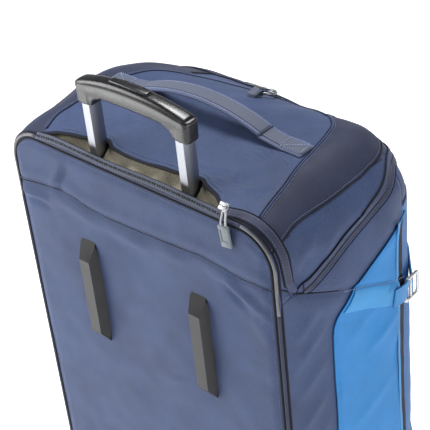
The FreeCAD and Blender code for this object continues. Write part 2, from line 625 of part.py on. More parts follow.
def grab_handle():
    """Padded webbing handle: a bow between two ramps that are sewn down on the end flap."""
    low, rise, half, end = size("grab_low"), size("grab_rise"), size("grab_half"), size("grab_end")
    wall, wide, seat = size("grab_wall"), size("grab_wide"), size("grab_seat")
    radius = (half ** 2 + rise ** 2) / (2 * rise)
    near = depth(size("grab_y") - wide / 2)
    centre = Vector(0, near, low + rise - radius)

    def bow(r):
        lean = math.degrees(math.acos(half / r))
        return [polar(centre, r, lean, "xz"), polar(centre, r, 90, "xz"), polar(centre, r, 180 - lean, "xz")]

    inner, outer = bow(radius), bow(radius + wall)
    edges = [arc(*outer), line(outer[2], inner[2]), arc(*reversed(inner)), line(inner[0], outer[0])]
    feature("top_handle", Part.Face(Part.Wire(edges)).extrude(Vector(0, wide, 0)))
    seats = []
    for _, sign in SIDES:
        start, ramp = half + 0.6, size("grab_ramp")
        outline = [(start, low), (ramp, seat), (end, seat), (end, seat + size("seat_wall")),
                   (ramp, seat + size("seat_wall")), (start, low + wall)]
        corners = [Vector(sign * x, near, z) for x, z in outline]
        seats.append(Part.Face(Part.makePolygon(corners + corners[:1])).extrude(Vector(0, wide, 0)))
    feature("handle_ends", Part.makeCompound(seats))


# ---------------------------------------------------------------- wheels, chassis, feet

def wheels():
    axles, rings = [], []
    for side, sign in SIDES:
        x, wide = sign * size("wheel_x"), size("wheel_wide")
        start, axis = Vector(x - wide / 2, depth(size("wheel_y")), size("wheel_radius")), Vector(1, 0, 0)
        rim, bearing = size("rim_radius"), size("bearing_radius")
        tyre = Part.makeCylinder(size("wheel_radius"), wide, start, axis)
        tyre = tyre.makeFillet(5, [e for e in tyre.Edges if e.Curve.TypeId == "Part::GeomCircle"])
        feature(f"tyre_{side}", tyre.cut(Part.makeCylinder(rim, wide, start, axis)))
        hub = Part.makeCylinder(rim - 0.05, wide - 2, start + Vector(1, 0, 0), axis)
        for face in (0.0, wide - 7.0):
            dish = Part.makeCylinder(rim - 5, 8, start + Vector(face - 0.5, 0, 0), axis)
            dish = dish.cut(Part.makeCylinder(bearing + 4, 8, start + Vector(face - 0.5, 0, 0), axis))
            hub = hub.cut(dish)
        hub = hub.cut(Part.makeCylinder(bearing + 0.05, wide, start, axis))
        for spoke in range(5):
            angle = math.radians(72 * spoke)
            out = (rim + bearing) / 2 + 1
            at = start + Vector(-1, out * math.cos(angle), out * math.sin(angle))
            hub = hub.cut(Part.makeCylinder(6, wide + 4, at, axis))
        feature(f"wheel_{side}", hub)
        for face in (1.2, wide - 1.2 - size("bearing_wide")):
            at = start + Vector(face, 0, 0)
            ring = Part.makeCylinder(bearing, size("bearing_wide"), at, axis)
            bore = Part.makeCylinder(size("axle_radius") + 0.05, wide, at - Vector(1, 0, 0), axis)
            rings.append(ring.cut(bore))
        spacer_at = start + Vector(1.2 + size("bearing_wide"), 0, 0)
        spacer_long = wide - 2.4 - 2 * size("bearing_wide")
        spacer = Part.makeCylinder(6, spacer_long, spacer_at, axis)
        bore = Part.makeCylinder(size("axle_radius") + 0.05, 40, spacer_at - Vector(1, 0, 0), axis)
        rings.append(spacer.cut(bore))
        span = size("well_wide") + 2 * size("house_wall")
        bolt = Part.makeCylinder(size("axle_radius"), span, Vector(x - span / 2, start.y, start.z), axis)
        head = Part.makeCylinder(7, 2.6, Vector(x + sign * span / 2, start.y, start.z), Vector(sign, 0, 0))
        nut = Part.makeCylinder(7, 2.6, Vector(x - sign * span / 2, start.y, start.z), Vector(-sign, 0, 0))
        axles.append(bolt.fuse(head).fuse(nut))
    feature("axles", Part.makeCompound(axles))
    feature("wheel_bearings", Part.makeCompound(rings))


def chassis():
    """Moulded base: a tray under the bag, a kick plate at the back and a housing round each wheel."""
    low, floor, gap = size("tray_low"), size("bag_floor"), size("panel_gap")
    tray = plan_prism(-2).common(box_between((-300, 0, low), (300, 400, floor - gap)))
    tray = tray.common(arch_prism(size("side_half"), low, 300, 40, 9, -20, 400))
    kick = box_between((-160, -2.6, low), (160, 0, size("kick_top")))
    body = tray.fuse(kick).fuse(box_between((-160, -2.6, low), (160, 4, floor - gap)))
    for _, sign in SIDES:
        x = sign * size("wheel_x")
        half = size("well_wide") / 2 + size("house_wall")
        ends = sorted_box(x - half, x + half, size("house_near") - 4.6, size("house_far"), low, size("house_top"))
        house = box_between(*ends)
        house = house.makeFillet(9, [e for e in house.Edges if e.BoundBox.ZMin > size("house_top") - 0.1
                                     or (e.BoundBox.ZLength > 50 and e.BoundBox.YMin > depth(60))])
        body = body.fuse(house)
    for _, sign in SIDES:
        x, y, radius = sign * size("wheel_x"), size("wheel_y"), size("wheel_radius")
        middle = Vector(x - size("well_wide") / 2, depth(y), radius)
        body = body.cut(Part.makeCylinder(size("well_radius"), size("well_wide"), middle, Vector(1, 0, 0)))
        mouth = box_between((x - size("well_wide") / 2, -30, -1), (x + size("well_wide") / 2, y, radius + 20))
        body = body.cut(mouth)
        hole = Part.makeCylinder(size("axle_radius") + 0.1, 120, Vector(x - 60, depth(y), radius), Vector(1, 0, 0))
        body = body.cut(hole)
    feature("chassis", body.removeSplitter())
    feet = []
    for side, sign in SIDES:
        cone = doc.addObject("Part::Cone", f"foot_{side}")
        bind(cone, Radius1="Sheet.foot_radius - 3", Radius2="Sheet.foot_radius", Height="Sheet.tray_low - 0.1")
        place(cone, "Sheet.foot_x" if sign > 0 else "-Sheet.foot_x", "Sheet.foot_y", "0")
        feet.append(cone)
    keep("feet", compound("feet", feet))


def fasteners():
    """Screws through the back panel into the skid rails."""
    solids = []
    for _, sign in SIDES:
        for z in (size("rail_low") + 34, size("rail_high") - 34):
            at = Vector(sign * size("rail_x"), depth(size("back_wall") + 0.2), z)
            solids.append(Part.makeCylinder(6, 1.4, at, Vector(0, 1, 0)))
    return solids


# ---------------------------------------------------------------- front loop, sliders and pulls

def front_loop():
    """Folded webbing tab with a round gear ring, on the front edge of the end flap."""
    lean, radius = size("loop_lean"), size("brow_radius")
    half, wire = size("ring_radius"), size("ring_wire")
    tab = Part.makeBox(2 * size("tab_half"), 31, 9, Vector(-size("tab_half"), -24, 0.4))
    tab = tab.cut(Part.makeBox(40, 30.5, 6.4, Vector(-20, -25, 1.6)))
    tab = tab.cut(Part.makeBox(40, 18, 9, Vector(-20, -25, 3.4)))
    ring = Part.makeTorus(half, wire, Vector(0, half + 1, 4.8), Vector(0, 0, 1))
    for name, shape in (("front_loop", tab), ("front_ring", ring)):
        shape.rotate(Vector(0, 0, 0), Vector(1, 0, 0), -lean)
        turn = math.radians(lean)
        shape.translate(Vector(0, depth(size("crown_y")) + radius * math.sin(turn),
                               size("crown_top") - radius + radius * math.cos(turn)))
        feature(name, shape)


def slider_shapes():
    """One zip slider and its pull, made flat: the slider runs along X, its pull hangs towards -Y."""
    long, wide, tall = size("slider_long"), size("slider_wide"), size("slider_tall")
    base = Part.makeBox(long, wide, tall - 1.6, Vector(-long / 2, -wide / 2, 0.5))
    base = base.makeFillet(1.0, base.Edges)
    bridge = Part.makeBox(long * 0.6, 2.2, 2.4, Vector(-long * 0.3, -1.1, tall - 1.4))
    slider = base.fuse(bridge)
    drop, radius, half = size("cord_drop"), size("cord_radius"), size("pull_wide") / 2
    top, y0 = tall + 2.6, -1.5
    cords = []
    for sign in (-1, 1):
        start, end = Vector(sign * 1.6, y0, top), Vector(sign * 3.4, y0 - drop, top)
        run = end - start
        cords.append(Part.makeCylinder(radius, run.Length, start, run))
    loop = Part.makeCylinder(radius, 3.2 + 2 * radius, Vector(-1.6 - radius, y0 + 0.2, top), Vector(1, 0, 0))
    toggle = Part.makeBox(2 * half, size("pull_long"), size("pull_wall"),
                          Vector(-half, y0 - drop - size("pull_long") + 2, top - size("pull_wall") / 2))
    toggle = toggle.makeFillet(1.3, toggle.Edges)
    return slider, cords[0].fuse(cords[1]).fuse(loop).fuse(toggle)


def sliders():
    slider, pull = slider_shapes()
    brow = Vector(0, depth(size("crown_y")), size("crown_top") - size("brow_radius"))
    end_y = size("end_slider_y")
    lean = math.degrees(math.asin((end_y - size("crown_y")) / size("brow_radius")))
    end_at = brow + Vector(-60, size("brow_radius") * math.sin(math.radians(lean)),
                           size("brow_radius") * math.cos(math.radians(lean)))
    front_c = Vector(size("side_half") - size("front_radius"), depth(size("side_turn")), 0)
    swing = math.degrees(math.acos((size("lid_half") - front_c.x) / size("front_radius")))
    lid_at = polar(front_c, size("front_radius"), swing, "xy") + Vector(0, 0, 210)
    spots = {
        "trolley": Vector(size("slot_right") + 4, depth(0), size("lip_top") + 0.5),
        "end": end_at,
        "lid": lid_at,
    }
    for name, spot in spots.items():
        for kind, shape in (("slider", slider), ("pull", pull)):
            made = shape.copy()
            if name == "trolley":
                made.rotate(Vector(0, 0, 0), Vector(1, 0, 0), 90)
            elif name == "end":
                made.rotate(Vector(0, 0, 0), Vector(0, 0, 1), 180)
                made.rotate(Vector(0, 0, 0), Vector(1, 0, 0), -lean)
            else:
                if kind == "slider":
                    made.rotate(Vector(0, 0, 0), Vector(0, 0, 1), 90)
                made.rotate(Vector(0, 0, 0), Vector(1, 0, 0), 90)
                made.rotate(Vector(0, 0, 0), Vector(0, 0, 1), 90 + swing)
            made.translate(spot)
            feature(f"{name}_{kind}", made)


def build():
    fabric_body()
    back_panel()
    piping()
    back_board()
    pocket_lining()
    trolley_zip()
    wings_and_straps()
    hooks()
    skid_rails()
    telescopic_tubes()
    rivets = grip()
    button_spring()
    grab_handle()
    wheels()
    chassis()
    feature("rail_screws", Part.makeCompound(fasteners()))
    feature("grip_rivets", Part.makeCompound(rivets))
    front_loop()
    sliders()


def check_and_export():
    doc.recompute()
    bad = [o.Name for o in doc.Objects if {"Invalid", "Error"} & set(o.State)]
    for label, thing in parts.items():
        if thing.Shape.isNull() or not thing.Shape.isValid():
            bad.append(label)
        if not thing.Shape.Solids:
            bad.append(f"{label} has no solid")
    if bad:
        raise RuntimeError(f"failed objects: {bad}")
    os.makedirs("parts", exist_ok=True)
    for old in os.listdir("parts"):
        if old.endswith(".step"):
            os.remove(os.path.join("parts", old))
    for label, thing in parts.items():
        thing.Shape.exportStep(os.path.join("parts", f"{label}.step"))
    print(f"{len(parts)} sub-parts written")


build()
check_and_export()
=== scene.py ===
import math
import bmesh
import bpy
import numpy as np
from mathutils import Matrix, Vector


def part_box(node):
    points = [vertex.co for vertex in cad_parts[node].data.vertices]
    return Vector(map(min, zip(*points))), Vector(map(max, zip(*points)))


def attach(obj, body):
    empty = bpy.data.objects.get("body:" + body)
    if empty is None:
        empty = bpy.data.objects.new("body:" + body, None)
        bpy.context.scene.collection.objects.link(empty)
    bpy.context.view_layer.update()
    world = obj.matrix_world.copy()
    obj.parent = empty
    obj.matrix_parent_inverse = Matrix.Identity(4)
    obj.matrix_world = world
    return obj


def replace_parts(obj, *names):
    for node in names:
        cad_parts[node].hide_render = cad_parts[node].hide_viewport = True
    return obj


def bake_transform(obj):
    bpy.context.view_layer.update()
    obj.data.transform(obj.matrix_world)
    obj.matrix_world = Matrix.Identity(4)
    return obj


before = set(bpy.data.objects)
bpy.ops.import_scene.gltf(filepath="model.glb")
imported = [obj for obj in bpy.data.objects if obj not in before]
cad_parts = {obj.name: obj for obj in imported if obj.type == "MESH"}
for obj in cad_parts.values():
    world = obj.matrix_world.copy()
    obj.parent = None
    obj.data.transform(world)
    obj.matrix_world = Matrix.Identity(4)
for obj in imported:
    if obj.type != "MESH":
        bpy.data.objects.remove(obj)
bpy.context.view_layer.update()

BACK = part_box("back_panel")[0][1] * 1000.0      # row-frame y of the bag's back face, mm
TOP = 750.0                                     # height of the back panel's top edge, mm

# ---------------------------------------------------------------------------------------------
# materials

def material(name, color, rough=0.6, metal=0.0, sheen=0.0, sheen_tint=(1, 1, 1), specular=0.5):
    """A principled material, its node tree and its shader; the caller wires colour and bump."""
    m = bpy.data.materials.new(name)
    m.use_nodes = True
    shader = m.node_tree.nodes["Principled BSDF"]
    shader.inputs["Base Color"].default_value = (*color, 1)
    shader.inputs["Roughness"].default_value = rough
    shader.inputs["Metallic"].default_value = metal
    shader.inputs["Sheen Weight"].default_value = sheen
    shader.inputs["Sheen Tint"].default_value = (*sheen_tint, 1)
    shader.inputs["Sheen Roughness"].default_value = 0.45
    shader.inputs["Specular IOR Level"].default_value = specular
    return m, m.node_tree, shader


def coords(tree, scale=(1, 1, 1)):
    """Object coordinates in millimetres, scaled."""
    source = tree.nodes.new("ShaderNodeTexCoord")
    mapping = tree.nodes.new("ShaderNodeMapping")
    mapping.inputs["Scale"].default_value = [1000 * s for s in scale]
    tree.links.new(source.outputs["Object"], mapping.inputs["Vector"])
    return mapping.outputs["Vector"]


def noise_tex(tree, vector, scale, detail=3.0, rough=0.55):
    tex = tree.nodes.new("ShaderNodeTexNoise")
    tex.inputs["Scale"].default_value = scale
    tex.inputs["Detail"].default_value = detail
    tex.inputs["Roughness"].default_value = rough
    tree.links.new(vector, tex.inputs["Vector"])
    return tex.outputs["Fac"]


def wave_tex(tree, vector, scale, axis="X", distortion=0.0):
    tex = tree.nodes.new("ShaderNodeTexWave")
    tex.wave_type = "BANDS"
    tex.bands_direction = axis
    tex.inputs["Scale"].default_value = scale
    tex.inputs["Distortion"].default_value = distortion
    tex.inputs["Detail"].default_value = 1.0
    tree.links.new(vector, tex.inputs["Vector"])
    return tex.outputs["Fac"]


def ramp(tree, fac, stops):
    node = tree.nodes.new("ShaderNodeValToRGB")
    elements = node.color_ramp.elements
    while len(elements) < len(stops):
        elements.new(0.5)
    for element, (position, color) in zip(elements, stops):
        element.position = position
        element.color = (*color, 1)
    tree.links.new(fac, node.inputs["Fac"])
    return node.outputs["Color"]


def maths(tree, kind, a, b=None):
    node = tree.nodes.new("ShaderNodeMath")
    node.operation = kind
    for socket, value in zip(node.inputs, (a, b)):
        if value is None:
            continue
        if isinstance(value, (int, float)):
            socket.default_value = value
        else:
            tree.links.new(value, socket)
    return node.outputs["Value"]


def blend_of(tree, a, share_a, b, share_b):
    """Weighted sum of two values."""
    return maths(tree, "ADD", maths(tree, "MULTIPLY", a, share_a), maths(tree, "MULTIPLY", b, share_b))


def paint(tree, shader, socket, fac, stops):
    """Drive one of the shader's inputs by a ramp."""
    tree.links.new(ramp(tree, fac, stops), shader.inputs[socket])


def bump(tree, shader, height, strength, distance):
    node = tree.nodes.new("ShaderNodeBump")
    node.inputs["Strength"].default_value = strength
    node.inputs["Distance"].default_value = distance
    tree.links.new(height, node.inputs["Height"])
    tree.links.new(node.outputs["Normal"], shader.inputs["Normal"])


def tones(color, low, high):
    return tuple(c * low for c in color), tuple(min(1, c * high) for c in color)


def woven(name, color, rough=0.55, sheen=0.06, thread=0.55, contrast=0.22, blotch=0.12):
    """Woven polyester: crossed threads, heathered speckle and slow tone changes."""
    m, tree, shader = material(name, color, rough, sheen=sheen, sheen_tint=(0.75, 0.82, 1.0), specular=0.22)
    vector = coords(tree)
    fleck = noise_tex(tree, vector, 0.55, detail=4.0, rough=0.7)
    slow = noise_tex(tree, vector, 0.022, detail=3.0)
    mixed = blend_of(tree, fleck, 0.65, slow, 0.35)
    dark, light = tones(color, 1 - contrast - blotch, 1 + contrast + blotch)
    paint(tree, shader, "Base Color", mixed, [(0.32, dark), (0.5, color), (0.68, light)])
    warp = wave_tex(tree, vector, thread, "DIAGONAL", 0.4)
    weft = wave_tex(tree, vector, thread * 1.1, "Z", 0.4)
    bump(tree, shader, blend_of(tree, warp, weft, fleck, 0.9), 0.35, 0.0004)
    paint(tree, shader, "Roughness", fleck, [(0.3, (rough - 0.08,) * 3), (0.7, (rough + 0.1,) * 3)])
    return m


def webbing(name, color, axis="X", pitch=2.2):
    """Ribbed strap webbing: wavy ribs along one axis, with fine fleck."""
    m, tree, shader = material(name, color, 0.6, sheen=0.3, sheen_tint=(0.8, 0.85, 1.0), specular=0.3)
    vector = coords(tree)
    rib = wave_tex(tree, vector, 0.314 / pitch, axis, 0.6)
    fleck = noise_tex(tree, vector, 0.7, detail=4.0, rough=0.7)
    mixed = blend_of(tree, rib, 0.45, fleck, 0.55)
    dark, light = tones(color, 0.78, 1.22)
    paint(tree, shader, "Base Color", mixed, [(0.25, dark), (0.5, color), (0.78, light)])
    bump(tree, shader, mixed, 0.3, 0.0004)
    return m


def moulded(name, color, rough=0.38, grain=0.5, specular=0.5):
    """Moulded plastic with a fine leather-like grain and slight wear."""
    m, tree, shader = material(name, color, rough, specular=specular)
    vector = coords(tree)
    fine = noise_tex(tree, vector, 1.1, detail=2.0)
    wear = noise_tex(tree, vector, 0.035, detail=4.0, rough=0.65)
    dark, light = tones(color, 0.8, 1.35)
    paint(tree, shader, "Base Color", wear, [(0.3, dark), (0.7, light)])
    paint(tree, shader, "Roughness", wear, [(0.3, (rough - 0.06,) * 3), (0.72, (rough + 0.1,) * 3)])
    bump(tree, shader, fine, grain * 0.3, 0.00025)
    return m


def metal(name, color, rough=0.3, streak=(0.9, 0.9, 0.012)):
    """Drawn or cast metal with fine streaks."""
    m, tree, shader = material(name, color, rough, metal=1.0)
    vector = coords(tree, scale=streak)
    lines = noise_tex(tree, vector, 1.0, detail=3.0)
    dark, light = tones(color, 0.93, 1.05)
    paint(tree, shader, "Base Color", lines, [(0.3, dark), (0.7, light)])
    paint(tree, shader, "Roughness", lines, [(0.3, (rough - 0.05,) * 3), (0.7, (rough + 0.08,) * 3)])
    bump(tree, shader, lines, 0.02, 0.00002)
    return m


NAVY = (0.051, 0.076, 0.164)
M = {
    "navy": woven("navy_polyester", NAVY),
    "navy_back": woven("navy_back_panel", (0.053, 0.078, 0.168)),
    # shoulder panels: a separate panel, whose darker colour is painted shade for the slopes that face away from the
    # key light
    "shoulder": woven("shoulder_painted_shade", (0.030, 0.037, 0.072)),
    "gusset": woven("navy_gusset", (0.055, 0.072, 0.150)),
    "band": woven("navy_zip_band", (0.050, 0.065, 0.135), thread=0.8),
    "wing": woven("sky_ripstop", (0.030, 0.225, 0.56), contrast=0.12, blotch=0.08),
    "wing_band": woven("sky_band", (0.055, 0.29, 0.62), contrast=0.12, blotch=0.06),
    "front": woven("deep_blue_ripstop", (0.012, 0.12, 0.36), contrast=0.15),
    "lining": woven("khaki_lining", (0.30, 0.275, 0.21), rough=0.75, sheen=0.1, contrast=0.25, blotch=0.2),
    "piping": woven("navy_piping", (0.045, 0.05, 0.09), rough=0.5, contrast=0.15),
    # black binding for seams, zip edges and the tub; also the black strips and lines that paint shade beside the
    # back piping and ahead of the wings
    "edge_dark": woven("black_binding_and_painted_shade", (0.008, 0.009, 0.016), rough=0.7, sheen=0.05),
    "reflect": moulded("reflective_braid", (0.15, 0.15, 0.155), 0.38),
    "thread": woven("navy_thread", (0.13, 0.16, 0.27), rough=0.5, contrast=0.1),
    "pale_thread": woven("pale_thread", (0.30, 0.36, 0.55), rough=0.5, contrast=0.1),
    "strap": webbing("blue_strap", (0.045, 0.24, 0.55), "Z"),
    "handle_web": webbing("grey_webbing", (0.085, 0.10, 0.15), "X", 2.6),
    "handle_edge": woven("handle_binding", (0.105, 0.13, 0.22), rough=0.55, contrast=0.15),
    "tape": webbing("zip_tape", (0.030, 0.036, 0.060), "X", 2.4),
    "grey_tape": webbing("grey_zip_tape", (0.085, 0.10, 0.145), "X", 3.0),
    "coil": moulded("zip_coil", (0.020, 0.022, 0.030), 0.42),
    "plastic": moulded("black_plastic", (0.010, 0.010, 0.012), 0.27, specular=0.6),
    "rail": moulded("rail_plastic", (0.008, 0.008, 0.009), 0.34, grain=0.35, specular=0.5),
    "chassis": moulded("chassis_plastic", (0.016, 0.017, 0.020), 0.45, grain=1.0),
    "pull": moulded("grey_pull", (0.17, 0.20, 0.22), 0.35),
    "rubber": moulded("tyre_rubber", (0.018, 0.018, 0.019), 0.7, grain=1.2, specular=0.3),
    "wheel": moulded("wheel_plastic", (0.05, 0.052, 0.058), 0.4),
    "board": moulded("board_plastic", (0.20, 0.20, 0.21), 0.6),
    "alu": metal("satin_tube", (0.34, 0.35, 0.38), 0.42),
    "hook": metal("cast_hook", (0.62, 0.61, 0.60), 0.34, streak=(0.6, 0.6, 0.6)),
    "steel": metal("bright_steel", (0.40, 0.40, 0.42), 0.38, streak=(0.25, 0.25, 0.25)),
    "cord": woven("pale_cord", (0.62, 0.62, 0.64), rough=0.6, sheen=0.1, contrast=0.15),
}

# ---------------------------------------------------------------------------------------------
# mesh tools; every point is in millimetres, x across, y forward of the back face, z up

def to_frame(points):
    out = np.asarray(points, dtype=float).reshape(-1, 3) * 0.001
    out[:, 1] += BACK * 0.001
    return out


def place(name, data):
    """A new object in the scene."""
    piece = bpy.data.objects.new(name, data)
    bpy.context.scene.collection.objects.link(piece)
    return piece


def new_mesh(name, verts, faces, mat):
    """Smooth mesh object with one material, or several when mat is a tuple."""
    mesh = bpy.data.meshes.new(name)
    mesh.from_pydata([tuple(v) for v in to_frame(verts)], [], [tuple(int(i) for i in f) for f in faces])
    mesh.validate()
    mesh.update()
    for key in mat if isinstance(mat, tuple) else (mat,):
        mesh.materials.append(M[key])
    mesh.polygons.foreach_set("use_smooth", [True] * len(mesh.polygons))
    return place(name, mesh)


def grid_faces(rows, cols, closed_cols=False, closed_rows=False):
    faces = []
    for i in range(rows if closed_rows else rows - 1):
        for j in range(cols if closed_cols else cols - 1):
            a, b = i * cols + j, i * cols + (j + 1) % cols
            k = (i + 1) % rows
            faces.append((a, b, k * cols + (j + 1) % cols, k * cols + j))
    return faces


def edit(piece, work):
    """Run work(bm) on a piece's mesh."""
    bm = bmesh.new()
    bm.from_mesh(piece.data)
    work(bm)
    bm.to_mesh(piece.data)
    bm.free()
    piece.data.update()


def face_out(piece):
    edit(piece, lambda bm: bmesh.ops.recalc_face_normals(bm, faces=bm.faces))


def flip(piece):
    edit(piece, lambda bm: bmesh.ops.reverse_faces(bm, faces=bm.faces))


def weld(piece):
    edit(piece, lambda bm: bmesh.ops.remove_doubles(bm, verts=bm.verts, dist=0.00002))


def drop_loose(piece):
    def work(bm):
        bmesh.ops.delete(bm, geom=[v for v in bm.verts if not v.link_faces], context="VERTS")
    edit(piece, work)


def orient(piece, outward):
    """Face a sheet the way for which outward(polygon), weighed by area, is positive."""
    face_out(piece)
    if sum(outward(p) * p.area for p in piece.data.polygons) < 0:
        flip(piece)


def thicken(piece, thickness, inner=None):
    """Give a sheet its thickness, inward from its outer face."""
    mod = piece.modifiers.new("thickness", "SOLIDIFY")
    mod.thickness = thickness * 0.001
    mod.offset = -1
    if inner is not None:
        piece.data.materials.append(M[inner])
        mod.material_offset = len(piece.data.materials) - 1
    return piece


def unit(v):
    v = np.asarray(v, dtype=float)
    length = np.linalg.norm(v, axis=-1, keepdims=True)
    return v / np.where(length < 1e-9, 1, length)


def resample(points, step):
    """Points evenly spaced along a polyline."""
    points = np.asarray(points, dtype=float)
    gaps = np.linalg.norm(np.diff(points, axis=0), axis=1)
    along = np.concatenate([[0], np.cumsum(gaps)])
    count = max(2, int(round(along[-1] / step)) + 1)
    spots = np.linspace(0, along[-1], count)
    return np.stack([np.interp(spots, along, points[:, k]) for k in range(3)], axis=1)


def soften(points, rounds=2):
    """A polyline with its corners rounded off; its ends stay."""
    points = np.asarray(points, dtype=float).copy()
    for _ in range(rounds):
        points[1:-1] = 0.25 * points[:-2] + 0.5 * points[1:-1] + 0.25 * points[2:]
    return points


def steady(direction, path):
    """The same direction for every point of a path."""
    return np.repeat([direction], len(path), axis=0)


def beside(path, normals):
    """Directions across a path, in the surface whose normals are given."""
    return unit(np.cross(unit(np.gradient(path, axis=0)), normals))


def spread(normals, count):
    """Normals spaced anew for a path that has another number of points."""
    normals = np.asarray(normals)
    old, new = np.linspace(0, 1, len(normals)), np.linspace(0, 1, count)
    return unit(np.stack([np.interp(new, old, normals[:, k]) for k in range(3)], axis=1))


def tube_faces(rows, cols, closed=False):
    """Faces of a tube of rings: a cap on each end, or joined end to end."""
    faces = grid_faces(rows, cols, closed_cols=True, closed_rows=closed)
    if not closed:
        faces += [tuple(range(cols))[::-1], tuple((rows - 1) * cols + k for k in range(cols))]
    return faces


def sweep(name, path, normals, profile, mat, closed=False, ride=None):
    """Extrude a closed profile [(across, out)...] along a path whose outward normals are known."""
    path, normals = np.asarray(path, float), unit(normals)
    if closed:
        tangents = unit(np.roll(path, -1, axis=0) - np.roll(path, 1, axis=0))
    else:
        tangents = unit(np.gradient(path, axis=0))
    across = unit(np.cross(tangents, normals))
    out = unit(np.cross(across, tangents))
    profile = np.asarray(profile, float)
    rings = (path[:, None, :] + profile[None, :, 0, None] * across[:, None, :]
             + profile[None, :, 1, None] * out[:, None, :])
    piece = new_mesh(name, rings.reshape(-1, 3), tube_faces(*rings.shape[:2], closed), mat)
    face_out(piece)
    if ride:
        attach(piece, ride)
    return piece


def round_profile(radius, flat=1.0, count=10):
    angles = np.linspace(0, 2 * np.pi, count, endpoint=False)
    return [(radius * math.cos(a), radius * flat * math.sin(a)) for a in angles]


def strap_profile(half, low, high, edge):
    """Flat strip with soft edges, as wide as 2*half, between two heights."""
    points = [(-half, low), (-half, high - edge), (-half + edge, high)]
    points += [(x, high) for x in np.linspace(-half + 2 * edge, half - 2 * edge, 4)]
    points += [(half - edge, high), (half, high - edge), (half, low)]
    return points


def hoop(centre, radius, u, v, count):
    """Points round a circle in the plane of u and v."""
    angles = np.linspace(0, 2 * np.pi, count + 1)[:-1]
    return np.array([centre + radius * (math.cos(a) * u + math.sin(a) * v) for a in angles])


def any_normals(path):
    """Some steady frame for a free path."""
    path = np.asarray(path, float)
    tangents = unit(np.gradient(path, axis=0))
    normal = unit(np.cross(tangents[0], [0.31, 0.87, 0.39]))
    normals = []
    for t in tangents:
        normal = unit(normal - np.dot(normal, t) * t)
        normals.append(normal)
    return np.array(normals)


def tube(name, path, radius, mat, step=None, ride=None, count=10):
    path = np.asarray(path, float)
    if step:
        path = resample(path, step)
    return sweep(name, path, any_normals(path), round_profile(radius, count=count), mat, ride=ride)


def join(name, pieces, ride=None):
    """Join pieces into one object."""
    bpy.ops.object.select_all(action="DESELECT")
    for piece in pieces:
        piece.select_set(True)
    bpy.context.view_layer.objects.active = pieces[0]
    bpy.ops.object.join()
    pieces[0].name = name
    pieces[0].data.name = name
    if ride:
        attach(pieces[0], ride)
    return pieces[0]


def stitches(name, path, normals, mat, pitch=3.2, length=2.1, radius=0.42, lift=0.35, ride=None):
    """A row of stitches lying along a path: one small capsule per stitch, in one mesh."""
    fine = resample(path, 0.8)
    fine_n = spread(normals, len(fine))
    total = 0.8 * (len(fine) - 1)
    count = int(total / pitch)
    verts, faces = [], []
    ring = [(-1, 0), (-0.5, 0.8), (0.5, 0.8), (1, 0)]
    for k in range(count):
        at = (k + 0.5) * pitch / total
        index = min(len(fine) - 2, max(1, int(at * (len(fine) - 1))))
        t = unit(fine[index + 1] - fine[index - 1])
        n = fine_n[index]
        b = np.cross(t, n)
        base = fine[index] + n * lift
        start = len(verts)
        for end, size in ((-0.5, 0.35), (-0.3, 1.0), (0.3, 1.0), (0.5, 0.35)):
            for across, out in ring:
                verts.append(base + t * length * end + b * across * radius * size + n * out * radius * size)
        for i in range(3):
            for j in range(3):
                a = start + i * 4 + j
                faces.append((a, a + 1, a + 5, a + 4))
    if not verts:
        return None
    row = new_mesh(name, np.array(verts), faces, mat)
    if ride:
        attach(row, ride)
    return row


# ---------------------------------------------------------------------------------------------
# the bag's outer form

SIDE_HALF, BACK_HALF, TURN, NOSE = 215.0, 200.0, 146.0, 175.0
SIDE_R = (TURN ** 2 + (SIDE_HALF - BACK_HALF) ** 2) / (2 * (SIDE_HALF - BACK_HALF))
CROWN_Y, CROWN_Z, BROW = 129.0, 768.0, 191.0
CROWN_R = (CROWN_Y ** 2 + 18.0 ** 2) / 36.0
FLOOR, HEEL, DEPTH = 24.0, 40.0, 320.0


def blend01(v, low, high):
    k = np.clip((np.asarray(v, float) - low) / (high - low), 0, 1)
    return k * k * (3 - 2 * k)


def half_width(y):
    y = np.asarray(y, float)
    side = SIDE_HALF - SIDE_R + np.sqrt(np.maximum(0, SIDE_R ** 2 - (y - TURN) ** 2))
    nose = SIDE_HALF - NOSE + np.sqrt(np.maximum(0, NOSE ** 2 - (y - TURN) ** 2))
    return np.where(y < TURN, side, nose)


def crown(y):
    y = np.asarray(y, float)
    back = CROWN_Z - CROWN_R + np.sqrt(np.maximum(0, CROWN_R ** 2 - (y - CROWN_Y) ** 2))
    brow = CROWN_Z - BROW + np.sqrt(np.maximum(0, BROW ** 2 - (y - CROWN_Y) ** 2))
    return np.where(y < CROWN_Y, back, brow)


def corner(y):
    """Width, height and fullness of the shoulder between top and side."""
    k = blend01(y, 0, 70)
    f = blend01(y, 205, 300)
    width = (46 + 14 * k) * (1 - f) + 62 * f
    height = (46 + 8 * k) * (1 - f) + 80 * f
    power = (2.1 - 0.42 * k) * (1 - f) + 2.0 * f
    return np.minimum(width, half_width(y) - 2), height, power


def low_edge(y):
    y = np.asarray(y, float)
    rise = HEEL - np.sqrt(np.maximum(0, HEEL ** 2 - np.maximum(0, y - (DEPTH - HEEL)) ** 2))
    return FLOOR + rise


def top_z(x, y):
    """Height of the top surface."""
    a, b, p = corner(y)
    over = np.clip((np.abs(x) - (half_width(y) - a)) / a, 0, 1)
    return crown(y) - b + b * (1 - over ** p) ** (1 / p)


def side_x(y, z):
    """Half-width of the side surface at a height."""
    a, b, p = corner(y)
    over = np.clip((z - (crown(y) - b)) / b, 0, 1)
    return half_width(y) - a + a * (1 - over ** p) ** (1 / p)


def outside(x, y, z):
    """Positive outside the bag's cross-section at depth y; about a distance in units of 50 mm."""
    a, b, p = corner(y)
    u = (np.abs(x) - (half_width(y) - a)) / a
    v = (z - (crown(y) - b)) / b
    round_part = np.maximum(u, 0) ** p + np.maximum(v, 0) ** p
    return np.where((u > 0) & (v > 0), round_part - 1, np.maximum(u, v) - 1)


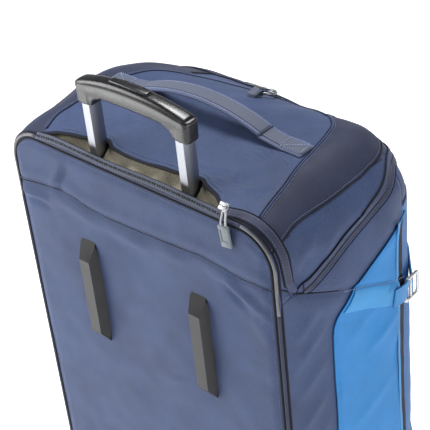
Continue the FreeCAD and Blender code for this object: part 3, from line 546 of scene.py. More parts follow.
def front_y(x, z):
    """Depth of the front surface at a place seen from the front."""
    x, z = np.broadcast_arrays(np.asarray(x, float), np.asarray(z, float))
    low, high = np.full(x.shape, 60.0), np.full(x.shape, DEPTH)
    for _ in range(34):
        middle = (low + high) / 2
        out = outside(x, middle, z) > 0
        high = np.where(out, middle, high)
        low = np.where(out, low, middle)
    return (low + high) / 2


def outline(y, counts):
    """Cross-section points at one depth, from the lower left round the top to the lower right."""
    side_n, corner_n, top_n = counts
    a, b, p = (float(v) for v in corner(y))
    X, T, L = float(half_width(y)), float(crown(y)), float(low_edge(y))
    hem = min(30.0, X * 0.5)
    right = []
    for k in range(9):
        angle = math.pi / 2 * k / 8
        right.append((X - hem + hem * math.sin(angle), L + hem - hem * math.cos(angle)))
    for k in range(1, side_n + 1):
        right.append((X, L + hem + (T - b - L - hem) * k / side_n))
    for k in range(1, corner_n + 1):
        angle = math.pi / 2 * k / corner_n
        right.append((X - a + a * max(0, math.cos(angle)) ** (2 / p), T - b + b * math.sin(angle) ** (2 / p)))
    for k in range(1, top_n + 1):
        right.append(((X - a) * (1 - k / top_n), T))
    left = [(-x, z) for x, z in right[:-1]]
    return np.array(left + right[::-1])


def smooth_noise(points, scale, seed):
    """Slow random field made of a few plane waves, between about -1 and 1."""
    local = np.random.default_rng(seed)
    total = np.zeros(points.shape[:-1])
    for _ in range(7):
        direction = unit(local.normal(size=3))
        rate = 2 * np.pi / (scale * local.uniform(0.7, 1.5))
        total += np.sin(points @ direction * rate + local.uniform(0, 6.28))
    return total / 3.2


def to_segment(points, a, b):
    """Distance to a segment, and how far along it, from 0 to 1."""
    a, b = np.asarray(a, float), np.asarray(b, float)
    run = b - a
    k = np.clip(((points - a) @ run) / (run @ run), 0, 1)
    return np.linalg.norm(points - (a + k[..., None] * run), axis=-1), k


def fold(points, a, b, width, depth, taper=1.0):
    """A soft fold along a line: a ridge for positive depth, a valley for negative."""
    distance, k = to_segment(points, a, b)
    ends = np.sin(np.pi * np.clip(k, 0.02, 0.98)) ** taper
    return depth * ends * np.exp(-(distance / width) ** 2)


def folds(points, rows):
    """Sum of folds, each row a start, an end, a width, a depth and perhaps a taper."""
    return sum(fold(points, *row) for row in rows)


def normals_of(points):
    """Outward normals of the undisplaced form."""
    h = 0.8
    x, y, z = points[..., 0], points[..., 1], points[..., 2]

    def value(dx, dy, dz):
        return outside(x + dx, np.clip(y + dy, 0, DEPTH - 0.01), z + dz)
    grad = np.stack([value(h, 0, 0) - value(-h, 0, 0), value(0, h, 0) - value(0, -h, 0),
                     value(0, 0, h) - value(0, 0, -h)], axis=-1)
    flat = (np.linalg.norm(grad, axis=-1, keepdims=True) < 1e-6) | (y > DEPTH - 0.3)[..., None]
    grad = np.where(flat, np.array([0.0, 1.0, 0.0]), grad)
    return unit(grad)


def zip_plane(y):
    """Height of the end zip's centre line round the side."""
    swell = 6.0 * blend01(y, 45, 100) * (1 - blend01(y, 190, 225))
    return 668.3 + 0.335 * (np.maximum(y, 39.0) - 39.0) + swell - 13.0 * blend01(y, 200, 238)


SEAM_SIDE = [(2, 686), (9, 680), (25, 667), (45, 657), (75, 643), (107, 628), (143, 611), (182, 590),
             (204, 579)]


def seam_height(y):
    """Height of the cross seam of the side."""
    return np.interp(y, [p[0] for p in SEAM_SIDE], [p[1] for p in SEAM_SIDE])


# diagonal drag lines of the side: start y and z, end y and z, strength
DRAGS = [(8, 560, 66, 622, 1.9), (10, 520, 64, 566, 1.5), (8, 470, 62, 520, 1.4), (10, 420, 60, 476, 1.1),
         (12, 600, 50, 640, 1.5), (20, 690, 60, 735, 1.6), (14, 672, 40, 715, -1.4), (60, 690, 90, 725, 1.0),
         (10, 330, 60, 390, 1.2), (12, 260, 64, 300, 1.0)]


def relief(points):
    """How far the fabric stands out from the plain form, in millimetres."""
    x, y, z = points[..., 0], points[..., 1], points[..., 2]
    out = 0.9 * smooth_noise(points, 120, 3) + 0.45 * smooth_noise(points, 45, 5)
    side = blend01(np.abs(x), 175, 195)
    back_zone = blend01(y, 0, 18)
    out = out * back_zone
    # side panel: hollow along the end zip and the cross seam, puffs below them, drag lines
    zip_gap = z - zip_plane(y)
    out = out - 2.6 * side * np.exp(-(zip_gap / 10.0) ** 2) * blend01(y, 20, 60)
    out = out + 2.0 * side * np.exp(-((zip_gap + 45) / 26.0) ** 2) * blend01(y, 10, 60)
    above_seam = z - seam_height(y)
    out = out - 2.0 * side * np.exp(-(above_seam / 3.4) ** 2)
    out = out + 1.4 * side * np.exp(-((above_seam + 16) / 12.0) ** 2)
    out = out + folds(points, [((sign * 207, y0, z0), (sign * 210, y1, z1), 7.5, 1.7 * depth)
                               for y0, z0, y1, z1, depth in DRAGS for sign in (1, -1)])
    out = out + folds(points, [((200, 18, 734), (208, 31, 690), 4.5, 3.2),
                               ((203, 28, 738), (209, 46, 694), 5, -2.2)])
    # top panel: dip along the pocket and soft swells
    top = blend01(z, 735, 752) * (1 - side)
    out = out - 2.2 * top * np.exp(-((y - 62) / 20.0) ** 2) * (0.4 + 0.6 * np.exp(-((x - 20) / 110.0) ** 2))
    out = out + folds(points, [((40, 45, 760), (112, 70, 764), 9, -1.6),
                               ((-110, 52, 760), (-60, 80, 764), 10, -1.2),
                               ((118, 40, 758), (150, 60, 758), 7, -2.2)])
    # the bag leans a little: its brow stands out more on the right, and falls back there below
    brow = blend01(y, 120, 215) * blend01(z, 640, 730) * (1 - blend01(y, 225, 260))
    hollow = blend01(y, 205, 255) * blend01(z, 640, 700) * (1 - blend01(z, 735, 752))
    return out + 5.0 * np.clip(x / 170.0, -1, 1) * brow - 11.0 * np.clip(x / 110.0, 0, 1) * hollow


def lifted(points, extra=0.0):
    """Points moved out along the form's normals by the fabric's relief and an extra height."""
    points = np.asarray(points, float)
    n = normals_of(points)
    return points + n * (relief(points) + extra)[..., None], n


# the top panel's inset seam and the mouth of the handle pocket
MOUTH_X = [-168, -150, -130, -96, -84, -77, -62, -52, -30, 10, 42, 61, 78, 88, 108, 116, 124, 130, 136]
MOUTH_Y = [0, 7, 16, 24, 29, 33, 33, 27, 25, 27, 30, 34, 34, 28, 22, 17, 10, 4, 0]


def mouth(x):
    """Depth of the pocket mouth's far edge."""
    return np.interp(x, MOUTH_X, MOUTH_Y)


SHOULDER = [(0, 728), (16, 734), (37, 740.5), (73, 742), (124, 745), (161, 745), (212, 739), (240, 728)]
INSET = [(-147, 14), (-153, 36), (-150, 72), (-137, 132), (-126, 168), (-102, 194), (-60, 209), (0, 222), (60, 224),
         (102, 211), (129, 187), (144, 150), (147, 127), (152, 103), (160, 58), (167, 17)]


def shoulder_z(y):
    """Height of the seam between the top and the side."""
    return np.interp(y, [p[0] for p in SHOULDER], [p[1] for p in SHOULDER])


def in_inset(x, y):
    """Whether a point of the top is inside the top panel's seam."""
    inside = False
    outline_pts = [(-147, 0)] + INSET + [(167, 0)]
    for (x1, y1), (x2, y2) in zip(outline_pts, outline_pts[1:] + outline_pts[:1]):
        if (y1 > y) != (y2 > y) and x < x1 + (y - y1) * (x2 - x1) / (y2 - y1):
            inside = not inside
    return inside


def make_shell():
    """The whole fabric shell as one fine grid, row by row from the back edge to the nose."""
    counts = (190, 26, 60)
    rows = [0.0, 1.5, 3.5, *np.arange(6.5, TURN, 3.2)]
    rows += [TURN + (NOSE - 1.0) * math.sin(math.radians(a)) for a in np.arange(1.0, 89.6, 1.05)]
    grid = []
    for y in rows:
        deep = min(y, DEPTH - 0.02)
        ring = outline(deep, counts)
        grid.append(np.stack([ring[:, 0], np.full(len(ring), deep), ring[:, 1]], axis=1))
    last = grid[-1]
    grid += [last * [k, 1, 1] for k in (0.75, 0.5, 0.25, 0.0)]
    grid = np.array(grid)
    # the mouth of the handle pocket pushes the first rows forward
    on_top = grid[0, :, 2] > TOP - 1.5
    for i, y in enumerate(rows):
        if y > 60:
            break
        push = np.where(on_top, mouth(grid[i, :, 0]), 0) * (1 - y / 60.0)
        new_y = y + push
        grid[i, :, 1] = new_y
        top = on_top & (push > 0.01)
        grid[i, top, 2] = top_z(grid[i, top, 0], new_y[top])
    points, _ = lifted(grid)
    points[0] = grid[0]
    return grid, points


# the zip line of the front lid: half-width, lower edge, upper edge and corner radius
LID_HALF, LID_LOW, LID_HIGH, LID_R = 150.0, 126.3, 640.0, 60.0


def arch(half, low, top, r, y, step, count):
    """Upright outline with round top corners and an open foot, evenly spaced, at one depth."""
    turn = np.linspace(0, math.pi / 2, count)
    pts = [(-half, low), (-half, top - r)]
    pts += [(-half + r - r * math.cos(a), top - r + r * math.sin(a)) for a in turn[1:]]
    pts += [(half - r + r * math.sin(a), top - r + r * math.cos(a)) for a in turn]
    return resample(np.array([(x, y, z) for x, z in pts + [(half, low)]]), step)


def in_lid(x, z, grow):
    """Whether a point seen from the front is inside the lid's zip line, moved out by grow."""
    half, high, r = LID_HALF + grow, LID_HIGH + grow, LID_R + grow
    u = np.abs(x) - (half - r)
    v = z - (high - r)
    round_off = (u > 0) & (v > 0) & (np.hypot(np.maximum(u, 0), np.maximum(v, 0)) > r)
    return (np.abs(x) < half) & (z < high) & (z > LID_LOW) & ~round_off


def select_faces(grid, points, keep):
    """Mesh arrays of the faces for which keep(centres) is true."""
    rows, cols = points.shape[:2]
    centre = (grid[:-1, :-1] + grid[1:, :-1] + grid[:-1, 1:] + grid[1:, 1:]) / 4
    chosen = keep(centre)
    index = np.arange(rows * cols).reshape(rows, cols)
    quads = np.stack([index[:-1, :-1], index[:-1, 1:], index[1:, 1:], index[1:, :-1]], axis=-1)[chosen]
    used, flat = np.unique(quads, return_inverse=True)
    return points.reshape(-1, 3)[used], flat.reshape(-1, 4)


def shell_piece(name, keep, mat):
    """The part of the shell for which keep(centres) is true, as lined fabric."""
    verts, faces = select_faces(GRID, POINTS, keep)
    piece = new_mesh(name, verts, faces, mat)
    weld(piece)
    heart = Vector((0, (BACK + 120) * 0.001, 0.4))
    orient(piece, lambda p: (Vector(p.center) - heart).dot(p.normal))
    return thicken(piece, FABRIC, "lining")


GRID, POINTS = make_shell()
FOLD_START, FOLD_END = (0, 44, 762), (0, 60, 768.7)     # the end flap bends between these two
FABRIC = 2.2                    # fabric with its lining, mm
SPLIT_Y = 196.0                 # seam between the sides and the front, from the back face
YOKE_Z = 681.0                  # lower edge of the navy top on the front
TUB_TOP = 66.0                  # upper edge of the dark tub
WELL_X, WELL_Y = 158.0, 91.0    # the tub is open to the wheels beyond this x and behind this y


def above_zip(c):
    return c[..., 2] > zip_plane(c[..., 1])


cap = shell_piece("cap_fabric", above_zip, ("navy", "shoulder"))
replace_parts(cap, "end_bridge", "end_flap")
# the shoulder panels, outside the inset seam and above the shoulder seam, take the darker fabric that paints their
# shade
for polygon in cap.data.polygons:
    px, py, pz = polygon.center * 1000
    py -= BACK
    if not in_inset(px, py) and pz > shoulder_z(py) and abs(px) > 100:
        polygon.material_index = 1
fold_start, fold_end = (tuple(to_frame([spot])[0]) for spot in (FOLD_START, FOLD_END))
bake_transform(cap)


def body_zone(c):
    x, y, z = c[..., 0], c[..., 1], c[..., 2]
    return ~above_zip(c) & (z > TUB_TOP) & ~((y > 200) & in_lid(x, z, -1.5))


def tub_zone(c):
    well = (np.abs(c[..., 0]) > WELL_X) & (c[..., 1] < WELL_Y)
    return (c[..., 2] <= TUB_TOP) & ~well


sides = shell_piece("side_fabric", lambda c: body_zone(c) & (c[..., 1] < SPLIT_Y), "navy")
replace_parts(sides, "side_panel_right", "side_panel_left")
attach(sides, "bag")
front = shell_piece("front_fabric", lambda c: body_zone(c) & (c[..., 1] >= SPLIT_Y), ("front", "navy"))
for polygon in front.data.polygons:
    if polygon.center.z > YOKE_Z * 0.001:
        polygon.material_index = 1
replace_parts(front, "front_frame")
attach(front, "bag")
tub = shell_piece("tub_fabric", tub_zone, "edge_dark")
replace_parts(tub, "bottom_panel")
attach(tub, "bag")


def make_lid():
    """Front lid: a padded panel inside its zip line."""
    cols, rows = 96, 160
    half, top, r = 145.2, 635.2, 55.0
    X, Z = np.meshgrid(np.linspace(-1, 1, cols) * half, np.linspace(126.8, top, rows))
    cx, cz = half - r, top - r
    dx, dz = np.abs(X) - cx, Z - cz
    far = (dx > 0) & (dz > 0)
    length = np.hypot(dx, dz)
    scale = np.where(far & (length > r), r / np.maximum(length, 1e-6), 1.0)
    X = np.where(far, np.sign(X) * (cx + dx * scale), X)
    Z = np.where(far, cz + dz * scale, Z)
    Y = front_y(X, Z)
    pts = np.stack([X, Y, Z], axis=-1)
    edge = np.minimum(np.minimum(half - np.abs(X), top - Z), Z - 120)
    puff = 5.0 * blend01(edge, 0, 34)
    pocket = -1.8 * np.exp(-((Z - 430) / 3.2) ** 2) + 1.2 * np.exp(-((Z - 412) / 14) ** 2)
    moved, _ = lifted(pts, puff + np.where(edge > 4, pocket, 0))
    piece = new_mesh("lid_fabric", moved.reshape(-1, 3), grid_faces(rows, cols), "front")
    weld(piece)
    orient(piece, lambda p: p.normal.y)
    return thicken(piece, FABRIC, "lining")


lid = make_lid()
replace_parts(lid, "front_lid")
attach(lid, "lid")

# ---------------------------------------------------------------------------------------------
# back panel

BACK_LOW, BACK_R, BACK_EDGE = 114.5, 46.0, 3.4      # panel's lower edge, corner radius and margin
BACK_PUFF = 3.4                                     # how far its padding stands out


def back_outline(x, inset):
    """Height of the back panel's top edge."""
    half, top, r = BACK_HALF - inset, TOP - inset, BACK_R - inset
    over = np.clip((np.abs(x) - (half - r)) / r, 0, 1)
    return top - r + r * np.sqrt(1 - over ** 2)


def back_seam(x):
    """Height of the cross seam of the back panel."""
    return np.interp(x, [-200, -164, -131, -103, -79, -49, 14, 96, 127, 150, 173, 200],
                     [677, 684, 688, 687, 682, 679, 682, 688, 686, 682, 684, 681])


def back_relief(x, z):
    """How far the back panel stands out towards -y."""
    p = np.stack([x, np.zeros_like(x), z], axis=-1)
    out = 0.7 * smooth_noise(p, 110, 11) + 0.3 * smooth_noise(p, 40, 12)
    gap = z - back_seam(x)
    out += -2.4 * np.exp(-(gap / 2.4) ** 2)
    out += 4.0 * np.exp(-((gap + 14) / 9.0) ** 2) * (0.6 + 0.4 * smooth_noise(p, 60, 14))
    out += 2.0 * np.exp(-((gap - 12) / 9.0) ** 2)
    out += folds(p, [((-194, 0, 668), (-140, 0, 670), 7, 4.5), ((-188, 0, 655), (-140, 0, 657), 5, -4.0),
                     ((-126, 0, 682), (-98, 0, 732), 5.0, -2.6, 0.8),
                     ((-137, 0, 684), (-110, 0, 734), 6, 2.4, 0.8),
                     ((128, 0, 676), (196, 0, 640), 7, 4.0), ((120, 0, 668), (170, 0, 636), 6, -3.6),
                     ((150, 0, 655), (196, 0, 600), 9, 1.6), ((-30, 0, 670), (60, 0, 655), 12, 1.8),
                     ((10, 0, 470), (60, 0, 492), 5, 1.1), ((-60, 0, 668), (-20, 0, 640), 9, -1.3)])
    for rail in (-86, 86):
        out -= 1.3 * np.exp(-((x - rail) / 26.0) ** 2) * blend01(z, 462, 492) * (1 - blend01(z, 620, 652))
    return out


def make_back():
    """Back panel: padded fabric inside its piping."""
    half = BACK_HALF - BACK_EDGE
    X, v = np.meshgrid(np.linspace(-1, 1, 150) * half, np.linspace(0, 1, 230))
    high = back_outline(X, BACK_EDGE)
    Z = BACK_LOW + (high - BACK_LOW) * v
    edge = np.minimum(np.minimum(half - np.abs(X), high - Z), Z - BACK_LOW)
    Y = -(0.4 + BACK_PUFF * blend01(edge, 0, 16) + back_relief(X, Z) * blend01(edge, 0, 10))
    verts = np.stack([X, Y, Z], axis=-1).reshape(-1, 3)
    piece = new_mesh("back_fabric", verts, grid_faces(*X.shape), "navy_back")
    orient(piece, lambda p: -p.normal.y)
    thicken(piece, 2.5, "lining")
    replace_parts(piece, "back_panel")
    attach(piece, "bag")


make_back()


def back_path(low, inset, y):
    """Line along the back panel's outline, at a distance inside it."""
    return arch(BACK_HALF - inset, low, TOP - inset, BACK_R - inset, y, 3.0, 16)


def back_piping():
    """Piping round the back panel, reflective at its top corners, with black lines beside it that paint the shade
    in its grooves, the seam and stitches.
    """
    path = back_path(BACK_LOW, 1.8, 0.8)
    bright = (np.abs(path[:, 0]) > 155) & (path[:, 2] > 650)
    dull_parts, bright_parts = [], []
    edges = [0, *(np.flatnonzero(np.diff(bright.astype(int))) + 1), len(path)]
    for a, b in zip(edges[:-1], edges[1:]):
        if b - a < 2:
            continue
        if bright[a]:
            bright_parts.append(tube(f"pipe_bright_{a}", path[a:b], 2.1, "reflect"))
        else:
            dull_parts.append(tube(f"pipe_dull_{a}", path[max(0, a - 1):b + 1], 2.2, "piping"))
    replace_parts(join("back_piping_cord", dull_parts, ride="bag"), "back_piping")
    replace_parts(join("reflective_cord", bright_parts, ride="bag"), "reflective_piping")
    # painted shade: black tubes just inside and just outside the piping stand in for the shadow in the grooves
    # beside it
    for inset, y, name in ((5.4, -0.6, "inner"), (-0.9, 2.8, "outer")):
        tube(f"pipe_shade_line_{name}", back_path(BACK_LOW, inset, y), 1.5, "edge_dark", ride="bag")
    xs = np.linspace(-195, 195, 150)
    for offset, mat, radius in ((0.0, "edge_dark", 0.8), (3.0, "thread", 0.35)):
        zs = back_seam(xs) + offset
        depth = np.interp(np.abs(xs), [150, 186, 196], [0, 0, 2.5]) - (1.2 + BACK_PUFF + back_relief(xs, zs))
        tube(f"back_seam_{mat}", soften(np.stack([xs, depth, zs], axis=1)), radius, mat, ride="bag", count=6)
    line = back_path(120, 9.5, -1.6)
    stitches("back_edge_stitches", line, steady((0, -1, 0), line), "thread", lift=0.2, ride="bag")


back_piping()

# ---------------------------------------------------------------------------------------------
# lines that lie on the bag

def ring_at(height, start, stop, count):
    """Points where the surface meets a height given as a function of depth, by plan angle from the front."""
    angle = np.radians(np.linspace(start, stop, count))
    low, high = np.full(count, 20.0), np.full(count, 270.0)
    for _ in range(34):
        r = (low + high) / 2
        x, y = r * np.sin(angle), 100 + r * np.cos(angle)
        out = (outside(x, np.clip(y, 0, DEPTH), height(y)) > 0) | (y > DEPTH) | (y < 0)
        high = np.where(out, r, high)
        low = np.where(out, low, r)
    x, y = low * np.sin(angle), 100 + low * np.cos(angle)
    return np.stack([x, y, height(y)], axis=1)


def on_side(y, z, sign=1, lift=0.0):
    """Points of the right (+1) or left (-1) side surface, with the relief and an extra height."""
    y, z = np.broadcast_arrays(np.asarray(y, float), np.asarray(z, float))
    pts = np.stack([sign * side_x(y, z), y, z], axis=-1)
    return lifted(pts, lift)


def on_top(x, y, lift=0.0):
    x, y = np.broadcast_arrays(np.asarray(x, float), np.asarray(y, float))
    pts = np.stack([x, y, top_z(x, y)], axis=-1)
    return lifted(pts, lift)


def ribbon(name, path, normals, low, high, thick, mat, ride=None, base=0.2):
    """Flat strip along a path, from one offset across it to another."""
    middle, half = (low + high) / 2, abs(high - low) / 2
    profile = [(x + middle, h) for x, h in strap_profile(half, base, base + thick, min(0.5, thick * 0.45))]
    return sweep(name, path, normals, profile, mat, ride=ride)


def settled(points):
    """Points moved on to the plain form along its normals."""
    points = np.asarray(points, float).copy()
    for _ in range(3):
        h = 0.5
        n = normals_of(points)
        depth_in = np.clip(points[..., 1], 0, DEPTH - 0.01)
        value = outside(points[..., 0], depth_in, points[..., 2])
        ahead = points + n * h
        step = outside(ahead[..., 0], np.clip(ahead[..., 1], 0, DEPTH - 0.01), ahead[..., 2]) - value
        points -= n * np.clip(value / np.where(np.abs(step) < 1e-6, 1e-6, step) * h, -4, 4)[..., None]
    return points


def laid(name, path, across, low, high, thick, mat, columns=6, ride=None):
    """Strip that lies on the surface across its whole width."""
    spots = np.concatenate([[low], np.linspace(low, high, columns), [high]])
    rise = np.concatenate([[0.0], [thick * 0.75], np.full(columns - 2, thick), [thick * 0.75], [0.0]])
    base = settled(path[:, None, :] + across[:, None, :] * spots[None, :, None])
    near = (np.abs(base[..., 0]) > 150) & (base[..., 1] > 18) & (base[..., 1] < 80)
    base[..., 2] = np.where(near, np.maximum(base[..., 2], seam_height(base[..., 1]) + 0.3), base[..., 2])
    pts, n = lifted(settled(base), 0.3)
    pts = pts + n * rise[None, :, None]
    piece = new_mesh(name, pts.reshape(-1, 3), grid_faces(*pts.shape[:2]), mat)
    face_out(piece)
    face = piece.data.polygons[(len(path) // 2) * (columns + 1) + columns // 2]
    if np.dot(n[len(n) // 2, columns // 2], face.normal) < 0:
        flip(piece)
    if ride:
        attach(piece, ride)
    return piece


def fold_side(points):
    """True where the end flap carries the fabric, beyond its fold line."""
    run = np.subtract(FOLD_END, FOLD_START)
    return ((np.asarray(points) - FOLD_START) @ run) / (run @ run) > 0.5


def runs(mask):
    """Stretches of equal value in a mask, as (start, stop, value)."""
    edges = [0, *(np.flatnonzero(np.diff(mask.astype(int))) + 1), len(mask)]
    return [(a, min(b + 1, len(mask)), bool(mask[a])) for a, b in zip(edges[:-1], edges[1:])]


def sorted_ride(name, path, make):
    """Make one piece for each stretch of a path, riding on the flap or the bag."""
    made = []
    for number, (a, b, ahead) in enumerate(runs(fold_side(path))):
        piece = make(f"{name}_{number}", slice(a, b)) if b - a > 2 else None
        if piece:
            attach(piece, "flap" if ahead else "bag")
            made.append(piece)
    return made


def end_zip():
    """Zip round the cap: a wide covered tape on each side, dark edges and the coil between."""
    raw = ring_at(zip_plane, -108, 108, 280)
    path, n = lifted(raw[raw[:, 2] > seam_height(raw[:, 1]) + 1.0], 0.3)
    path = soften(path, 3)
    across = beside(path, n)

    def upper(name, part):
        make = [laid(name, path[part], across[part], 0.7, 10.3, 1.3, "band"),
                laid(f"{name}_edge", path[part], across[part], 10.0, 11.2, 1.6, "edge_dark", 4),
                ribbon(f"{name}_coil", path[part], n[part], 0.1, 0.9, 1.7, "coil")]
        return join(name, make)

    for piece in sorted_ride("end_zip_up", path, upper):
        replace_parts(piece, "end_zip_flap")
    lower = [laid("end_zip_tape_low", path, across, -6.7, -0.7, 1.3, "band"),
             laid("end_zip_edge_low", path, across, -7.6, -6.4, 1.6, "edge_dark", 4),
             ribbon("end_zip_coil_low", path, n, -0.9, -0.1, 1.7, "coil")]
    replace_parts(join("end_zip_low", lower, ride="bag"), "end_zip_body")
    for offset in (8.4, -5.0):
        line, ln = lifted(settled(path + across * offset), 0.3)

        def make(name, part):
            return stitches(name, line[part], ln[part], "thread", lift=1.6)
        if offset > 0:
            sorted_ride("end_zip_stitches_up", path, make)
        else:
            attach(make("end_zip_stitches_low", slice(0, len(path))), "bag")
    # where the zip ends beside the back panel: a curved cover and the seam on to the piping
    for sign in (1, -1):
        y = np.linspace(3, 47, 24)
        line, _ = on_side(y, seam_height(y), sign, 0.6)
        tube(f"zip_end_seam_{sign + 1}", soften(line, 3), 0.9, "edge_dark", ride="bag", count=6)
        bend = np.array([(34, 678.5), (29, 677.5), (25.5, 674.5), (24, 670.5), (24.5, 667)])
        line, _ = on_side(bend[:, 0], bend[:, 1], sign, 1.0)
        line = soften(resample(line, 1.2), 3)
        tube(f"zip_end_line_{sign + 1}", line, 0.8, "edge_dark", ride="bag", count=6)


def lid_zip():
    """Zip round the front lid."""
    raw = arch(LID_HALF + 1.5, LID_LOW + 14, LID_HIGH + 1.5, LID_R + 1.5, 0, 4.0, 18)
    raw[:, 1] = front_y(raw[:, 0], raw[:, 2])
    path, n = lifted(raw, 0.4)
    outer = [ribbon("lid_tape_out", path, n, 0.7, 8.6, 1.2, "tape"),
             ribbon("lid_coil_out", path, n, 0.15, 1.4, 2.0, "coil")]
    inner = [ribbon("lid_tape_in", path, n, -7.6, -0.7, 1.2, "tape"),
             ribbon("lid_coil_in", path, n, -1.4, -0.15, 2.0, "coil")]
    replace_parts(join("lid_zip_outer", outer, ride="bag"), "lid_zip_frame")
    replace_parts(join("lid_zip_lid", inner, ride="lid"), "lid_zip_inner")


def cap_seams():
    """Stitched inset seam of the top panel and the dark seam over each shoulder."""
    fine = soften(resample(np.array([(x, y, 0) for x, y in INSET], float), 4.0), 12)
    path, n = on_top(fine[:, 0], fine[:, 1], 0.1)
    side = beside(path, n)
    for offset, mat, radius in ((0.0, "edge_dark", 0.8), (-1.9, "navy", 1.1)):
        line = path + side * offset

        def make(name, part):
            return tube(name, line[part], radius, mat, count=6)
        sorted_ride(f"cap_seam_{mat}", path, make)
    row = path + side * -4.6
    sorted_ride("cap_seam_stitches", path,
                lambda name, part: stitches(name, row[part], n[part], "thread", lift=0.2))
    for sign in (1, -1):
        y = np.linspace(3, 236, 100)
        path, n = on_side(y, shoulder_z(y), sign, 0.2)
        path = soften(path, 3)
        row = path + beside(path, n) * -3.0
        sorted_ride(f"shoulder_seam_{sign + 1}", path,
                    lambda name, part: tube(name, path[part], 0.85, "edge_dark", count=6))
        sorted_ride(f"shoulder_stitches_{sign + 1}_False", path,
                    lambda name, part: stitches(name, row[part], n[part], "thread", lift=0.3))


def front_trims():
    """Binding over the yoke's lower seam, the shoulders' front ends and liners of the wheel wells."""
    raw = ring_at(lambda y: np.full(np.shape(y), YOKE_Z), -64, 64, 150)
    path, n = lifted(raw[raw[:, 1] > SPLIT_Y - 1.0], 0.3)
    path = soften(path)
    laid("yoke_binding", path, beside(path, n), -3.4, 3.4, 1.0, "band", ride="bag")
    stitches("yoke_stitches", path, n, "thread", lift=1.2, ride="bag")
    for sign in (1, -1):
        line, ln = on_top(np.full(24, sign * 100.0), np.linspace(208, 247, 24), 0.3)
        ribbon(f"shoulder_end_{sign + 1}", line, ln, -2.4, 2.4, 0.7, "edge_dark", ride="flap")
        well = [(sign * x, 92.0, z) for x, z in ((155, 24), (207.5, 24), (207.5, 104), (155, 104))]
        liner = new_mesh(f"wheel_well_liner_{sign + 1}", well, [(0, 1, 2, 3)], "edge_dark")
        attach(thicken(liner, 1.5), "bag")


end_zip()
lid_zip()
cap_seams()
front_trims()

# ---------------------------------------------------------------------------------------------
# side wings, straps and hooks

WING_TOP_Y = [69, 70, 74, 79, 86, 93, 107, 129, 152, 170, 192, 204]
WING_TOP_Z = [585, 598, 606, 613, 619, 625, 633, 643, 654, 660, 668, 673]
WING_BACK, WING_EDGE, WING_LOW = 69.0, 183.0, 130.0     # sewn edge, free edge and foot of the wing


# folds of the wing: start y and z, end y and z, width, height
WING_FOLDS = [(80, 560, 196, 600, 9, 1.4), (110, 520, 198, 556, 8, 1.8),
              (80, 430, 190, 470, 10, 1.4), (100, 300, 198, 272, 9, 1.6)]


def wing_top(y):
    return np.interp(y, WING_TOP_Y, WING_TOP_Z)


def wing_sheet(name, verts, shape, mat, sign, thickness, inner=None):
    piece = new_mesh(name, verts.reshape(-1, 3), grid_faces(*shape), mat)
    orient(piece, lambda p: p.normal.x * sign)
    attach(thicken(piece, thickness, inner), "bag")
    return piece


